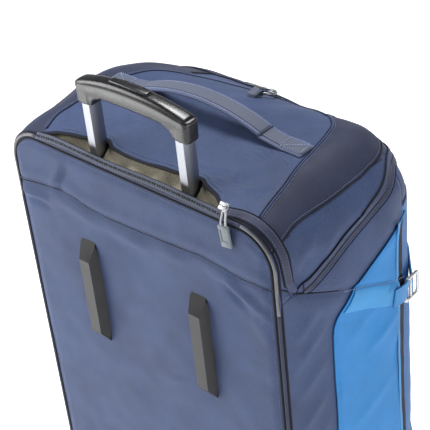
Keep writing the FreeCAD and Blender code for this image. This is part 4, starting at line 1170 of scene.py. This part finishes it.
def wings():
    """Loose outer wing of each side, with its band, hem, welt, seams and a black strip ahead of it that paints the
    shade under its free edge.
    """
    for sign, side in ((1, "right"), (-1, "left")):
        y = np.concatenate([[WING_BACK, WING_BACK + 0.6], np.linspace(71, WING_EDGE, 44)])
        Y, V = np.meshgrid(y, np.linspace(0, 1, 170))
        Z = WING_LOW + (wing_top(Y) - 3 - WING_LOW) * V
        p = np.stack([np.full_like(Y, sign * 210.0), Y, Z], axis=-1)
        free = blend01(Y, 150, 200)
        edge = blend01(Y, WING_BACK, 76) * blend01(Z, WING_LOW, 138) * blend01(wing_top(Y) - Z, 2, 10)
        drape = 1.5 * free * (1 + smooth_noise(p, 90, 21)) + 1.2 * edge * (1 + 0.5 * smooth_noise(p, 60, 22))
        drape += folds(p, [((sign * 210, y0, z0), (sign * 210, y1, z1), width, depth)
                           for y0, z0, y1, z1, width, depth in WING_FOLDS])
        pts, n = on_side(Y, Z, sign, 1.2)
        wing = wing_sheet(f"wing_{side}", pts + n * drape[..., None], Y.shape, "wing", sign, 1.3, "front")
        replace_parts(wing, f"wing_{side}")
        # hems and seams
        hem, hn = on_side(np.full(180, WING_EDGE - 1.5), np.linspace(131, 672, 180), sign, 4.0)
        ribbon(f"wing_hem_{side}", hem, hn, -2.6, 2.6, 1.0, "wing_band", ride="bag", base=-0.2)
        # painted shade: a black strip on the side just ahead of the wing's free edge stands in for the shadow the
        # wing casts there
        gap, gn = on_side(np.full(180, WING_EDGE + 10.0), np.linspace(131, 662, 180), sign, 0.5)
        ribbon(f"wing_shade_strip_{side}", gap, gn, -12.0, 9.5, 0.7, "edge_dark", ride="bag", base=0.0)
        U, V = np.meshgrid(np.linspace(0, 1, 50), np.linspace(0, 1, 12))
        start = 106 - 22 * V
        Y = start + (WING_EDGE - start) * U
        deep = np.interp(Y, [84, 110, 200], [30, 31, 34])
        band, bn = on_side(Y, seam_height(Y) - 0.5 - deep * V, sign, 1.2)
        rise = 1.5 * blend01(Y, 150, 200) * (1 + smooth_noise(band, 90, 21)) + 1.8 + 0.4 * np.sin(np.pi * V)
        wing_sheet(f"wing_band_{side}", band + bn * rise[..., None], Y.shape, "wing_band", sign, 0.9)
        row = hem + np.array([0, -2.2, 0])
        stitches(f"wing_hem_stitches_{side}", row, hn, "pale_thread", lift=1.1, ride="bag")
        line = [(WING_BACK, z) for z in np.linspace(131, 592, 120)]
        line += list(zip(WING_TOP_Y, np.array(WING_TOP_Z) - 3.0))
        fine = soften(resample(np.array([(0, a, b) for a, b in line]), 3.0), 3)
        path, pn = on_side(fine[:, 1], fine[:, 2], sign, 1.0)
        ribbon(f"wing_welt_{side}", path, pn, -1.3, 1.3, 1.6, "wing", ride="bag")
        y = np.linspace(40, 203, 60)
        bare, covered = y <= 84, y > 84
        path, pn = on_side(y, seam_height(y), sign, 0.2)
        tube(f"side_seam_{side}", path[bare], 0.7, "edge_dark", ride="bag", count=6)
        row = (path + [0, 0, 2.6])[bare]
        stitches(f"side_seam_stitches_{side}", row, pn[bare], "thread", lift=0.4, ride="bag")
        path, pn = on_side(y, seam_height(y), sign, 4.2)
        row = path[covered]
        stitches(f"wing_seam_stitches_{side}", row, pn[covered], "pale_thread", lift=0.3, ride="bag")


wings()


def hook(tag, centre, along, out):
    """Rounded rectangular cast frame with a middle bar, standing on the surface's tangent."""
    half_y, half_z, r = 13.6, 14.6, 6.0
    loop = []
    for cy, cz, a0 in ((1, 1, 0), (-1, 1, 90), (-1, -1, 180), (1, -1, 270)):
        for k in np.linspace(0, 90, 8):
            a = math.radians(a0 + k)
            loop.append(centre + along * (cy * (half_y - r) + r * math.cos(a))
                        + np.array([0, 0, 1.0]) * (cz * (half_z - r) + r * math.sin(a)) + out * 1.6)
    wire = round_profile(2.7, 0.62, 12)
    cast = sweep(f"hook_frame_{tag}", loop, steady(out, loop), wire, "hook", closed=True)
    bar = centre - along * 1.5 + out * 1.4
    pin = tube(f"hook_bar_{tag}", [bar - [0, 0, 13.2], bar, bar + [0, 0, 13.2]], 1.7, "hook", step=4)
    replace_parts(join(f"hook_{tag}", [cast, pin], ride=f"hook_{tag}"), f"hook_{tag}")


def strap(name, path, normals, base):
    path = soften(resample(path, 3.0), 3)
    return ribbon(name, path, spread(normals, len(path)), -11.5, 11.5, 1.7, "strap", base=base)


def straps_and_hooks():
    """Webbing from the wing's free edge to each hook, and from the hook on to the front."""
    pieces = []
    turn = math.radians(3.0)
    for level, height in (("high", 560.0), ("low", 270.0)):
        for sign, side in ((1, "right"), (-1, "left")):
            tag = f"{level}_{side}"
            centre = np.array([sign * 210.0, 213.0, height])
            along = np.array([-sign * math.sin(turn), math.cos(turn), 0])
            out = np.array([sign * math.cos(turn), math.sin(turn), 0])
            hook(tag, centre, along, out)
            ys = np.linspace(170, 203, 16)
            path, n = on_side(ys, height + np.interp(ys, [170, 203], [12.0, 5.0]), sign, 0.0)
            path = path + n * np.interp(ys, [170, 182, 194, 203], [4.4, 6.2, 6.4, 5.5])[:, None]
            tip = centre - along * 12.4 + out * 1.8 + np.array([0, 0, 3.0])
            pieces.append(strap(f"strap_{tag}_a", np.concatenate([path[:-2], [tip]]),
                                np.concatenate([n[:-2], [out]]), -0.4))
            far, fn = lifted(ring_at(lambda y: np.full(np.shape(y), height), sign * 52, sign * 12, 34), 1.0)
            keep = (far[:, 1] > 232) & (np.abs(far[:, 0]) > 163)
            tip = centre + along * 2.5 + out * 0.6
            pieces.append(strap(f"strap_{tag}_b", np.concatenate([[tip], far[keep]]),
                                np.concatenate([[out], fn[keep]]), -0.2))
    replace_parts(join("hook_straps", pieces, ride="bag"), "straps")


straps_and_hooks()

# ---------------------------------------------------------------------------------------------
# handle pocket: zip tapes, lining and the tape that runs on down the right corner

POCKET_Y = 21.0     # depth of the telescopic handle's centre line


def pocket_edges():
    """Near tape with its teeth, standing tilted along the back edge, and the far edge with its hem."""
    xs = np.linspace(-150, 131, 110)
    reach = np.interp(xs, [-150, -128, -60, 60, 112, 131], [0.5, 1.8, 2.2, 2.2, 2.4, 2.0])
    height = 749.6 + 1.06 * reach + 0.7 * np.sin(xs / 31.0)
    near = np.stack([xs, reach + 0.5 * np.sin(xs / 23.0), height], axis=1)
    up = steady(unit([0, -0.72, 0.70]), xs)
    tape = ribbon("pocket_tape_near", near, up, -4.2, 3.8, 1.2, "grey_tape", ride="bag", base=0.0)
    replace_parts(tape, "trolley_zip")
    stitches("pocket_teeth_near", near, up, "coil", pitch=3.6, length=1.5, radius=1.5, lift=1.2, ride="bag")
    lip = near + np.array([0, 0.70, 0.72]) * 4.0
    tube("pocket_lip_near", lip, 0.9, "edge_dark", ride="bag", count=6)
    far, n = on_top(xs, np.maximum(mouth(xs) - 0.5, 0.5), 0.4)
    ribbon("pocket_chain_far", far, n, -0.7, 3.6, 1.0, "edge_dark", ride="bag", base=-1.4)
    hem, hn = on_top(xs, mouth(xs) + 5.0, 0.2)
    stitches("pocket_hem_stitches", hem[8:-8], hn[8:-8], "thread", lift=0.3, ride="bag")


def pocket_lining():
    """Lining that bulges up into the mouth, with a hole round each tube."""
    X, V = np.meshgrid(np.linspace(-152, 132, 260), np.linspace(0, 1, 40))
    span = np.maximum(mouth(X) - 0.8, 1.2)
    p = np.stack([X, V * 40, V * 0], axis=-1)
    Y = (span + 0.9) * (1 - V) + 3.4 * V
    sag = 9.0 * np.sin(np.pi * V * 0.62) + 9.0 * V
    wrinkle = 1.6 * np.sin(X / 7.5 + 2.4 * V + 1.6 * np.sin(X / 27.0)) + 1.2 * smooth_noise(p, 22, 33)
    slack = (sag + (1.8 + wrinkle) * np.sin(np.pi * V) ** 0.6) * np.clip(span / 22.0, 0.1, 1)
    Z = np.minimum(top_z(X, span) - 0.7 - slack, 749.5 + (1 - V) * 14.0)
    hole = (((np.abs(X) - 69.5) / 9.2) ** 4 + ((Y - POCKET_Y) / 11.2) ** 4 < 1).reshape(-1)
    faces = [f for f in grid_faces(*X.shape) if not hole[list(f)].any()]
    piece = new_mesh("lining_fold", np.stack([X, Y, Z], axis=-1).reshape(-1, 3), faces, "lining")
    drop_loose(piece)
    face_out(piece)
    thicken(piece, 0.9)
    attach(piece, "bag")
    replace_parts(piece, "pocket_lining")


def corner_tape():
    """Tape past the slider, over the right corner and down beside the piping."""
    t = np.linspace(0, 1, 60)
    raw = []
    for k, y in zip(t, np.interp(t, [0, 0.15, 0.8, 1], [7.0, 10.5, 12.0, 15.0])):
        section = outline(y, (60, 26, 60))
        right = section[(section[:, 0] > 130) & (section[:, 1] > 684)]
        fine = resample(np.stack([right[:, 0], np.full(len(right), y), right[:, 1]], axis=1), 1.0)
        raw.append(fine[min(len(fine) - 1, int(k * (len(fine) - 1)))])
    path, n = lifted(np.array(raw), 0.3)
    path = soften(path, 3)
    side = beside(path, n)
    laid("corner_tape", path, side, -5.2, 5.2, 1.4, "piping", ride="bag")
    laid("corner_tape_dark", path, side, 5.0, 6.3, 1.6, "edge_dark", 4, ride="bag")
    laid("corner_tape_edge", path, side, -6.3, -5.0, 1.6, "edge_dark", 4, ride="bag")
    for offset in (3.6, -3.6):
        row = path + side * offset
        stitches(f"corner_tape_stitches_{offset > 0}", row, n, "thread", lift=1.5, ride="bag")
    end, en = on_side(np.linspace(15.5, 20.5, 10), np.linspace(690, 670, 10), 1, 0.4)
    laid("corner_tab", end, beside(end, en), -5.2, 5.2, 1.0, "gusset", ride="bag")


pocket_edges()
pocket_lining()
corner_tape()


# ---------------------------------------------------------------------------------------------
# top handle and front loop

HANDLE_Y, HANDLE_LOW = 123.0, 772.2     # depth of the handle and height of its ends
PAD_PROFILE = [(-12.6, 2.0), (-12.2, 3.8), (-10, 4.5), (-4, 4.8), (4, 4.8), (10, 4.5), (12.2, 3.8), (12.6, 2.0),
               (11, 0.3), (6, -0.7), (0, -1.0), (-6, -0.7), (-11, 0.3)]


def handle_line():
    """Underside of the top handle, from sewn end to sewn end."""
    low, rise, half = HANDLE_LOW, 16.8, 88.0
    r = (half ** 2 + rise ** 2) / (2 * rise)
    x = np.linspace(-half, half, 60)
    z = low + rise - r + np.sqrt(r ** 2 - x ** 2)
    return np.stack([x, np.full_like(x, HANDLE_Y), z], axis=1)


def top_handle():
    """Padded handle with webbing on top, and its two ends sewn to the cap."""
    bow = handle_line()
    up = steady((0, 0, 1.0), bow)
    body = sweep("handle_pad", bow, up, PAD_PROFILE, "handle_edge", ride="grab")
    ribbon("handle_webbing", bow, up, -8.2, 8.2, 1.0, "handle_web", ride="grab", base=4.5)
    for number, offset in enumerate((-9.6, 9.6)):
        row = bow + [0, offset, 0]
        stitches(f"handle_stitches_{number}", row, up, "pale_thread", lift=4.7, ride="grab")
    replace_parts(body, "top_handle")
    ends = []
    for sign in (1, -1):
        x = sign * np.array([88.4, 96, 104, 111, 118, 128, 138, 146])
        flat, _ = on_top(x, np.full(8, HANDLE_Y), -0.6)
        z = np.maximum([HANDLE_LOW + 0.2, 770.6, 769.4, 768.6, 0, 0, 0, 0], flat[:, 2])
        path = soften(resample(np.stack([x, np.full(8, HANDLE_Y), z], axis=1), 3.0), 3)
        n = steady((0, 0, 1.0), path)
        ends.append(ribbon(f"handle_end_{sign + 1}", path, n, -12.8, 12.8, 2.2, "handle_edge", base=0.0))
        ends.append(ribbon(f"handle_end_web_{sign + 1}", path, n, -8.2, 8.2, 0.9, "handle_web", base=2.3))
        box = [(116, 113.5), (143, 113.5), (143, 132.5), (116, 132.5), (116, 113.5), (143, 132.5)]
        fine = resample(np.array([(sign * a, b, 0) for a, b in box], float), 3.0)
        lay, ln = on_top(fine[:, 0], fine[:, 1], 3.4)
        ends.append(stitches(f"handle_end_stitches_{sign + 1}", lay, ln, "pale_thread", lift=0.5))
    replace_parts(join("handle_ends_sewn", ends, ride="flap"), "handle_ends")


top_handle()


def front_loop():
    """Webbing loop on the cap's brow and the steel ring that hangs in it."""
    lean = math.radians(22.0)
    base = np.array([8.0, CROWN_Y + BROW * math.sin(lean), CROWN_Z - BROW + BROW * math.cos(lean)])
    ahead = np.array([0, math.cos(lean), -math.sin(lean)])
    out = np.array([0, math.sin(lean), math.cos(lean)])
    line = [(-12, 1.0), (-8, 1.0), (-4, 1.4), (2, 2.0), (5.2, 4.0), (5.4, 6.4), (3, 8.4), (-3, 7.2),
            (-7, 3.6), (-12, 2.6)]
    path = soften(resample(np.array([base + ahead * a + out * b for a, b in line]), 1.6))
    n = unit(np.cross(steady((1.0, 0, 0), path), unit(np.gradient(path, axis=0))))
    piece = ribbon("front_loop_web", path, n, -6.8, 6.8, 1.1, "handle_web", ride="flap", base=-0.5)
    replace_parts(piece, "front_loop")
    centre = base + ahead * 14.0 + out * 4.8
    circle = hoop(centre, 13.0, np.array([1.0, 0, 0]), ahead, 48)
    wire = sweep("front_ring_wire", circle, steady(out, circle), round_profile(1.7), "steel", closed=True,
                 ride="ring")
    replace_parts(wire, "front_ring")


front_loop()

# ---------------------------------------------------------------------------------------------
# sliders and pulls

def rounded_box(name, size, at, axes, mat, bevel=1.0, ride=None):
    """Box with rounded edges; axes are its three directions as rows."""
    mesh = bpy.data.meshes.new(name)
    bm = bmesh.new()
    bmesh.ops.create_cube(bm, size=1.0)
    bmesh.ops.scale(bm, vec=Vector(size) * 0.001, verts=bm.verts)
    bmesh.ops.bevel(bm, geom=bm.edges[:] + bm.verts[:], offset=bevel * 0.001, segments=3, affect="EDGES",
                    profile=0.5)
    turn = Matrix(axes).transposed().to_4x4()
    spot = to_frame([at])[0]
    bmesh.ops.transform(bm, matrix=Matrix.Translation(spot) @ turn, verts=bm.verts)
    bm.to_mesh(mesh)
    bm.free()
    piece = place(name, mesh)
    mesh.materials.append(M[mat])
    mesh.polygons.foreach_set("use_smooth", [True] * len(mesh.polygons))
    if ride:
        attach(piece, ride)
    return piece


def node_centre(node):
    """Centre of a CAD node's box, from the back face."""
    low, high = (np.array(v) * 1000 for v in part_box(node))
    centre = (low + high) / 2
    centre[1] -= BACK
    return centre


def slider(tag, run, out, cad_slider, shift=(0, 0, 0)):
    """Zip slider body with its bridge."""
    run, out = unit(run), unit(out)
    centre = node_centre(cad_slider) + np.array(shift, float)
    axes = [tuple(run), tuple(np.cross(out, run)), tuple(out)]
    base = rounded_box(f"{tag}_base", (12.0, 8.6, 2.0), centre - out * 0.6, axes, "steel", 0.8)
    arc = ((-4.5, 0.4), (-3.6, 2.2), (0, 2.9), (3.6, 2.2), (4.5, 0.4))
    line = [centre + run * a + out * b for a, b in arc]
    bridge = sweep(f"{tag}_bridge", line, steady(out, line), round_profile(1.1, 0.8, 8), "steel")
    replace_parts(join(f"{tag}_slider_body", [base, bridge], ride=cad_slider), cad_slider)


slider("trolley", (1, 0, 0), (0, -0.72, 0.70), "trolley_slider", (2, 5.5, 5.5))
slider("end", (1, 0, 0), (0, 0.81, 0.59), "end_slider", (0, 7, -12.5))
slider("lid", (0, 0, 1), (0.8, 0.6, 0), "lid_slider")


def pull(tag, top, down, out, body, cord_long=12.0, tab_long=18.0, start=None):
    """Pull hanging from a slider: a wire ring, two cord strands and a buckle-shaped tab."""
    top, down, out = np.asarray(top, float), unit(down), unit(out)
    side = np.cross(down, out)
    start = top if start is None else np.asarray(start, float)
    lead = down if start is top else unit(top - start)
    loop = hoop(start + lead * 2.6, 3.0, side, lead, 24)
    ring = sweep(f"{tag}_ring", loop, steady(out, loop), round_profile(0.8, 1, 8), "steel", closed=True)
    strands = []
    for i, way in enumerate((side, -side)):
        cord = [start + lead * 3.2, start + lead * 5 + way * 2.0, top + down * (cord_long * 0.6) + way * 3.3,
                top + down * (cord_long + 3) + way * 3.1]
        strands.append(tube(f"{tag}_cord_{i}", soften(resample(cord, 1.0)), 1.1, "cord"))
    axes = [tuple(side), tuple(down), tuple(out)]
    middle = cord_long + tab_long / 2
    tab = rounded_box(f"{tag}_tab", (13.0, tab_long, 2.4), top + down * middle, axes, "pull", 1.1)
    rim = []
    for u, v, w, h in ((0, cord_long + 2.5, 15.0, 5.0), (0, cord_long + tab_long - 4, 14.0, 7.0),
                       (-5.6, middle, 3.0, tab_long * 0.8), (5.6, middle, 3.0, tab_long * 0.8)):
        at = top + down * v + side * u + out * 0.4
        rim.append(rounded_box(f"{tag}_rim_{len(rim)}", (w, h, 3.4), at, axes, "pull", 1.2))
    whole = join(f"{tag}_hang", [ring, *strands, tab, *rim], ride=body)
    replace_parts(whole, body)


pull("trolley", (137.5, -6.0, 754.0), (0.14, -0.03, -1), (0, -1, 0.03), "trolley_pull", 8.0, 26.0,
     start=(135.0, 3.4, 763.0))


def hang_like(tag, body, out, shift=(0, 0, 0)):
    """Pull laid along the CAD pull's own length."""
    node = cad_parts[body]
    pts = np.array([tuple(node.matrix_world @ v.co) for v in node.data.vertices]) * 1000
    pts[:, 1] -= BACK
    _, _, vt = np.linalg.svd(pts - pts.mean(axis=0), full_matrices=False)
    down = vt[0] if vt[0][2] < 0 else -vt[0]
    reach = (pts - pts.mean(axis=0)) @ down
    top = pts.mean(axis=0) + down * reach.min() + np.array(shift, float)
    out = unit(np.asarray(out, float) - np.dot(out, down) * down)
    pull(tag, top, down, out, body)


hang_like("end", "end_pull", (0, 0.81, 0.59), (0, 7, -12.5))
hang_like("lid", "lid_pull", (0.8, 0.6, 0))


# ---------------------------------------------------------------------------------------------
# hard parts kept from the CAD

FINISH = {"rail": "skid_rail_right skid_rail_left", "plastic": "tube_collars",
          "chassis": "chassis feet tube_foot slide_shoes",
          "alu": "inner_tube_right inner_tube_left outer_tube_right outer_tube_left",
          "steel": "lock_pin_right lock_pin_left push_rods button_spring grip_rivets wheel_bearings axles "
                   "rail_screws",
          "rubber": "tyre_right tyre_left", "wheel": "wheel_right wheel_left", "board": "back_board"}
ROUND = {"skid_rail_right": 1.0, "skid_rail_left": 1.0, "chassis": 1.2,
         "tyre_right": 2.0, "tyre_left": 2.0, "wheel_right": 0.6, "wheel_left": 0.6, "feet": 1.0,
         "tube_collars": 0.8}


GRIP_HALF, GRIP_TOP, GRIP_LOW, GRIP_DROP = 79.0, 851.0, 824.5, 10.5


def soft_power(v, power):
    """A power that keeps the sign, for rounded squares."""
    return np.sign(v) * np.abs(v) ** power


def grip_drop(x):
    """How far the arched top of the grip falls towards its ends."""
    return GRIP_DROP * (np.abs(x) / GRIP_HALF) ** 2.2


def ring_mesh(name, rings):
    piece = new_mesh(name, np.array(rings).reshape(-1, 3), tube_faces(len(rings), len(rings[0])), "plastic")
    face_out(piece)
    return piece


def grip_leg(sign, circle):
    """Soft leg that holds one tube."""
    rings = []
    for z in np.linspace(812.5, 838, 12):
        rx = 11.6 * (1 + 0.06 * blend01(z, 816, 834)) * soft_power(np.cos(circle), 0.5)
        ry = 10.4 * soft_power(np.sin(circle), 0.5)
        rings.append(np.stack([sign * 71.5 + rx, POCKET_Y + ry, np.full(len(circle), z)], axis=1))
    return ring_mesh(f"grip_leg_{sign}", rings)


def grip_web(sign):
    """Fillet between the leg and the bar."""
    web = [(sign * (60 - 12 * (1 - math.sin(a))), GRIP_LOW - 12 * (1 - math.cos(a)))
           for a in np.linspace(0, math.pi / 2, 8)]
    web += [(sign * 64, 828), (sign * 46, 828)]
    verts = [(x, POCKET_Y + side * 9.4, z) for side in (-1, 1) for x, z in web]
    n = len(web)
    faces = [tuple(range(n)), tuple(range(n, 2 * n))[::-1]]
    faces += [(k, (k + 1) % n, n + (k + 1) % n, n + k) for k in range(n)]
    wedge = new_mesh(f"grip_web_{sign}", verts, faces, "plastic")
    face_out(wedge)
    return wedge


def grip():
    """Arched grip with soft legs, remeshed into one smooth skin, and its release button."""
    circle = np.linspace(0, 2 * np.pi, 28, endpoint=False)
    rings = []
    for x in np.linspace(-GRIP_HALF, GRIP_HALF, 60):
        top, bottom = GRIP_TOP - grip_drop(x), GRIP_LOW - 3.0 * (abs(x) / GRIP_HALF) ** 2.6
        ry = 10.6 * soft_power(np.cos(circle), 0.62)
        rz = (top - bottom) / 2 * soft_power(np.sin(circle), 0.66)
        rings.append(np.stack([np.full(28, x), POCKET_Y + ry, (top + bottom) / 2 + rz], axis=1))
    parts = [ring_mesh("grip_bar", rings)]
    for sign in (-1, 1):
        parts += [grip_leg(sign, circle), grip_web(sign)]
    whole = join("grip_skin", parts)
    mod = whole.modifiers.new("skin", "REMESH")
    mod.mode = "VOXEL"
    mod.voxel_size = 0.0011
    mod.use_smooth_shade = True
    smooth = whole.modifiers.new("soft", "SMOOTH")
    smooth.factor = 0.6
    smooth.iterations = 9
    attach(whole, "pull_handle")
    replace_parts(whole, "grip_lower_shell", "grip_upper_shell")
    # button with its recess line, and the split line round the ends
    a = np.linspace(0, 2 * np.pi, 49)[:-1]
    x = 30.0 * soft_power(np.cos(a), 0.5) - 4.0
    oval = np.stack([x, POCKET_Y + 5.8 * soft_power(np.sin(a), 0.7), GRIP_TOP + 0.25 - grip_drop(x)], axis=1)
    sweep("button_groove", oval, steady((0, 0, 1.0), oval), round_profile(0.75, 0.6, 6), "edge_dark",
          closed=True, ride="pull_handle")
    button = rounded_box("button_cap", (56.0, 9.6, 9.0), (-4.0, POCKET_Y, 847.6), np.eye(3).tolist(), "plastic",
                         1.8, ride="button")
    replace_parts(button, "release_button")
    for sign in (-1, 1):
        split = [(sign * (83.6 if abs(u) < 0.7 else 81.0), POCKET_Y + 10.7 * u, 833.0)
                 for u in np.linspace(-0.9, 0.9, 12)]
        path = soften(resample(split, 1.5))
        tube(f"grip_split_{sign + 1}", path, 0.45, "edge_dark", ride="pull_handle", count=6)


grip()


def finish_cad():
    """Materials and soft edges for the hard parts that are shown as they are."""
    for key, names in FINISH.items():
        for name in names.split():
            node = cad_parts[name]
            for slot in node.material_slots:
                slot.material = M[key]
            if not node.material_slots:
                node.data.materials.append(M[key])
            if name in ROUND:
                mod = node.modifiers.new("round", "BEVEL")
                mod.width = ROUND[name] * 0.001
                mod.segments = 3
                mod.limit_method = "ANGLE"
                mod.angle_limit = math.radians(35)


finish_cad()

# ---------------------------------------------------------------------------------------------
# floor, lights and camera

def light(name, at, to, size, power):
    data = bpy.data.lights.new(name, "AREA")
    data.shape = "RECTANGLE"
    data.size, data.size_y = size
    data.energy = power
    lamp = place(name, data)
    lamp.location = at
    lamp.visible_camera = False
    lamp.rotation_euler = (Vector(to) - Vector(at)).to_track_quat("-Z", "Y").to_euler()


def studio():
    """White floor, even world light and four lamps."""
    floor_mat, tree, shader = material("floor_paper", (0.92, 0.92, 0.92), 0.9, specular=0.1)
    shader.inputs["Emission Color"].default_value = (1, 1, 1, 1)
    shader.inputs["Emission Strength"].default_value = 0.7
    clouds = noise_tex(tree, coords(tree), 0.01)
    paint(tree, shader, "Base Color", clouds, [(0.3, (0.91, 0.91, 0.92)), (0.7, (0.94, 0.94, 0.94))])
    mesh = bpy.data.meshes.new("floor")
    mesh.from_pydata([(-30, -30, 0), (30, -30, 0), (30, 30, 0), (-30, 30, 0)], [], [(0, 1, 2, 3)])
    floor = place("floor", mesh)
    mesh.materials.append(floor_mat)
    world = bpy.data.worlds.new("studio")
    bpy.context.scene.world = world
    world.use_nodes = True
    sky = world.node_tree.nodes["Background"]
    sky.inputs["Color"].default_value = (0.93, 0.96, 1.0, 1)
    sky.inputs["Strength"].default_value = 0.17
    light("key", (-1.2, -0.85, 1.4), (0, 0, 0.6), (1.0, 1.0), 22)
    light("card", (-1.05, -1.15, 0.22), (0, -0.1, 0.6), (0.9, 0.5), 6)
    light("top", (-0.35, 0.55, 2.3), (0, 0, 0.7), (0.7, 0.7), 30)
    light("right", (2.0, -0.4, 0.9), (0.1, 0, 0.6), (0.7, 1.3), 15)
    bpy.context.scene.view_settings.view_transform = "Standard"


def camera():
    """Long lens from the rear right, from above and turned a little about its own axis."""
    a, e, r = math.radians(45.47), math.radians(34.78), math.radians(6.42)
    back = Vector((math.sin(a) * math.cos(e), -math.cos(a) * math.cos(e), math.sin(e)))
    right = (-back).cross(Vector((0, 0, 1))).normalized()
    down = (-back).cross(right)
    image_right = math.cos(r) * right + math.sin(r) * down
    image_down = -math.sin(r) * right + math.cos(r) * down
    data = bpy.data.cameras.new("photo_camera")
    data.sensor_width = 36.0
    data.lens = 119.9
    data.clip_start = 0.05
    cam = place("photo_camera", data)
    rows = Matrix((image_right, -image_down, back)).transposed().to_4x4()
    cam.matrix_world = Matrix.Translation((0.980, BACK * 0.001 - 0.844, 1.585)) @ rows
    bpy.context.scene.camera = cam


studio()
camera()
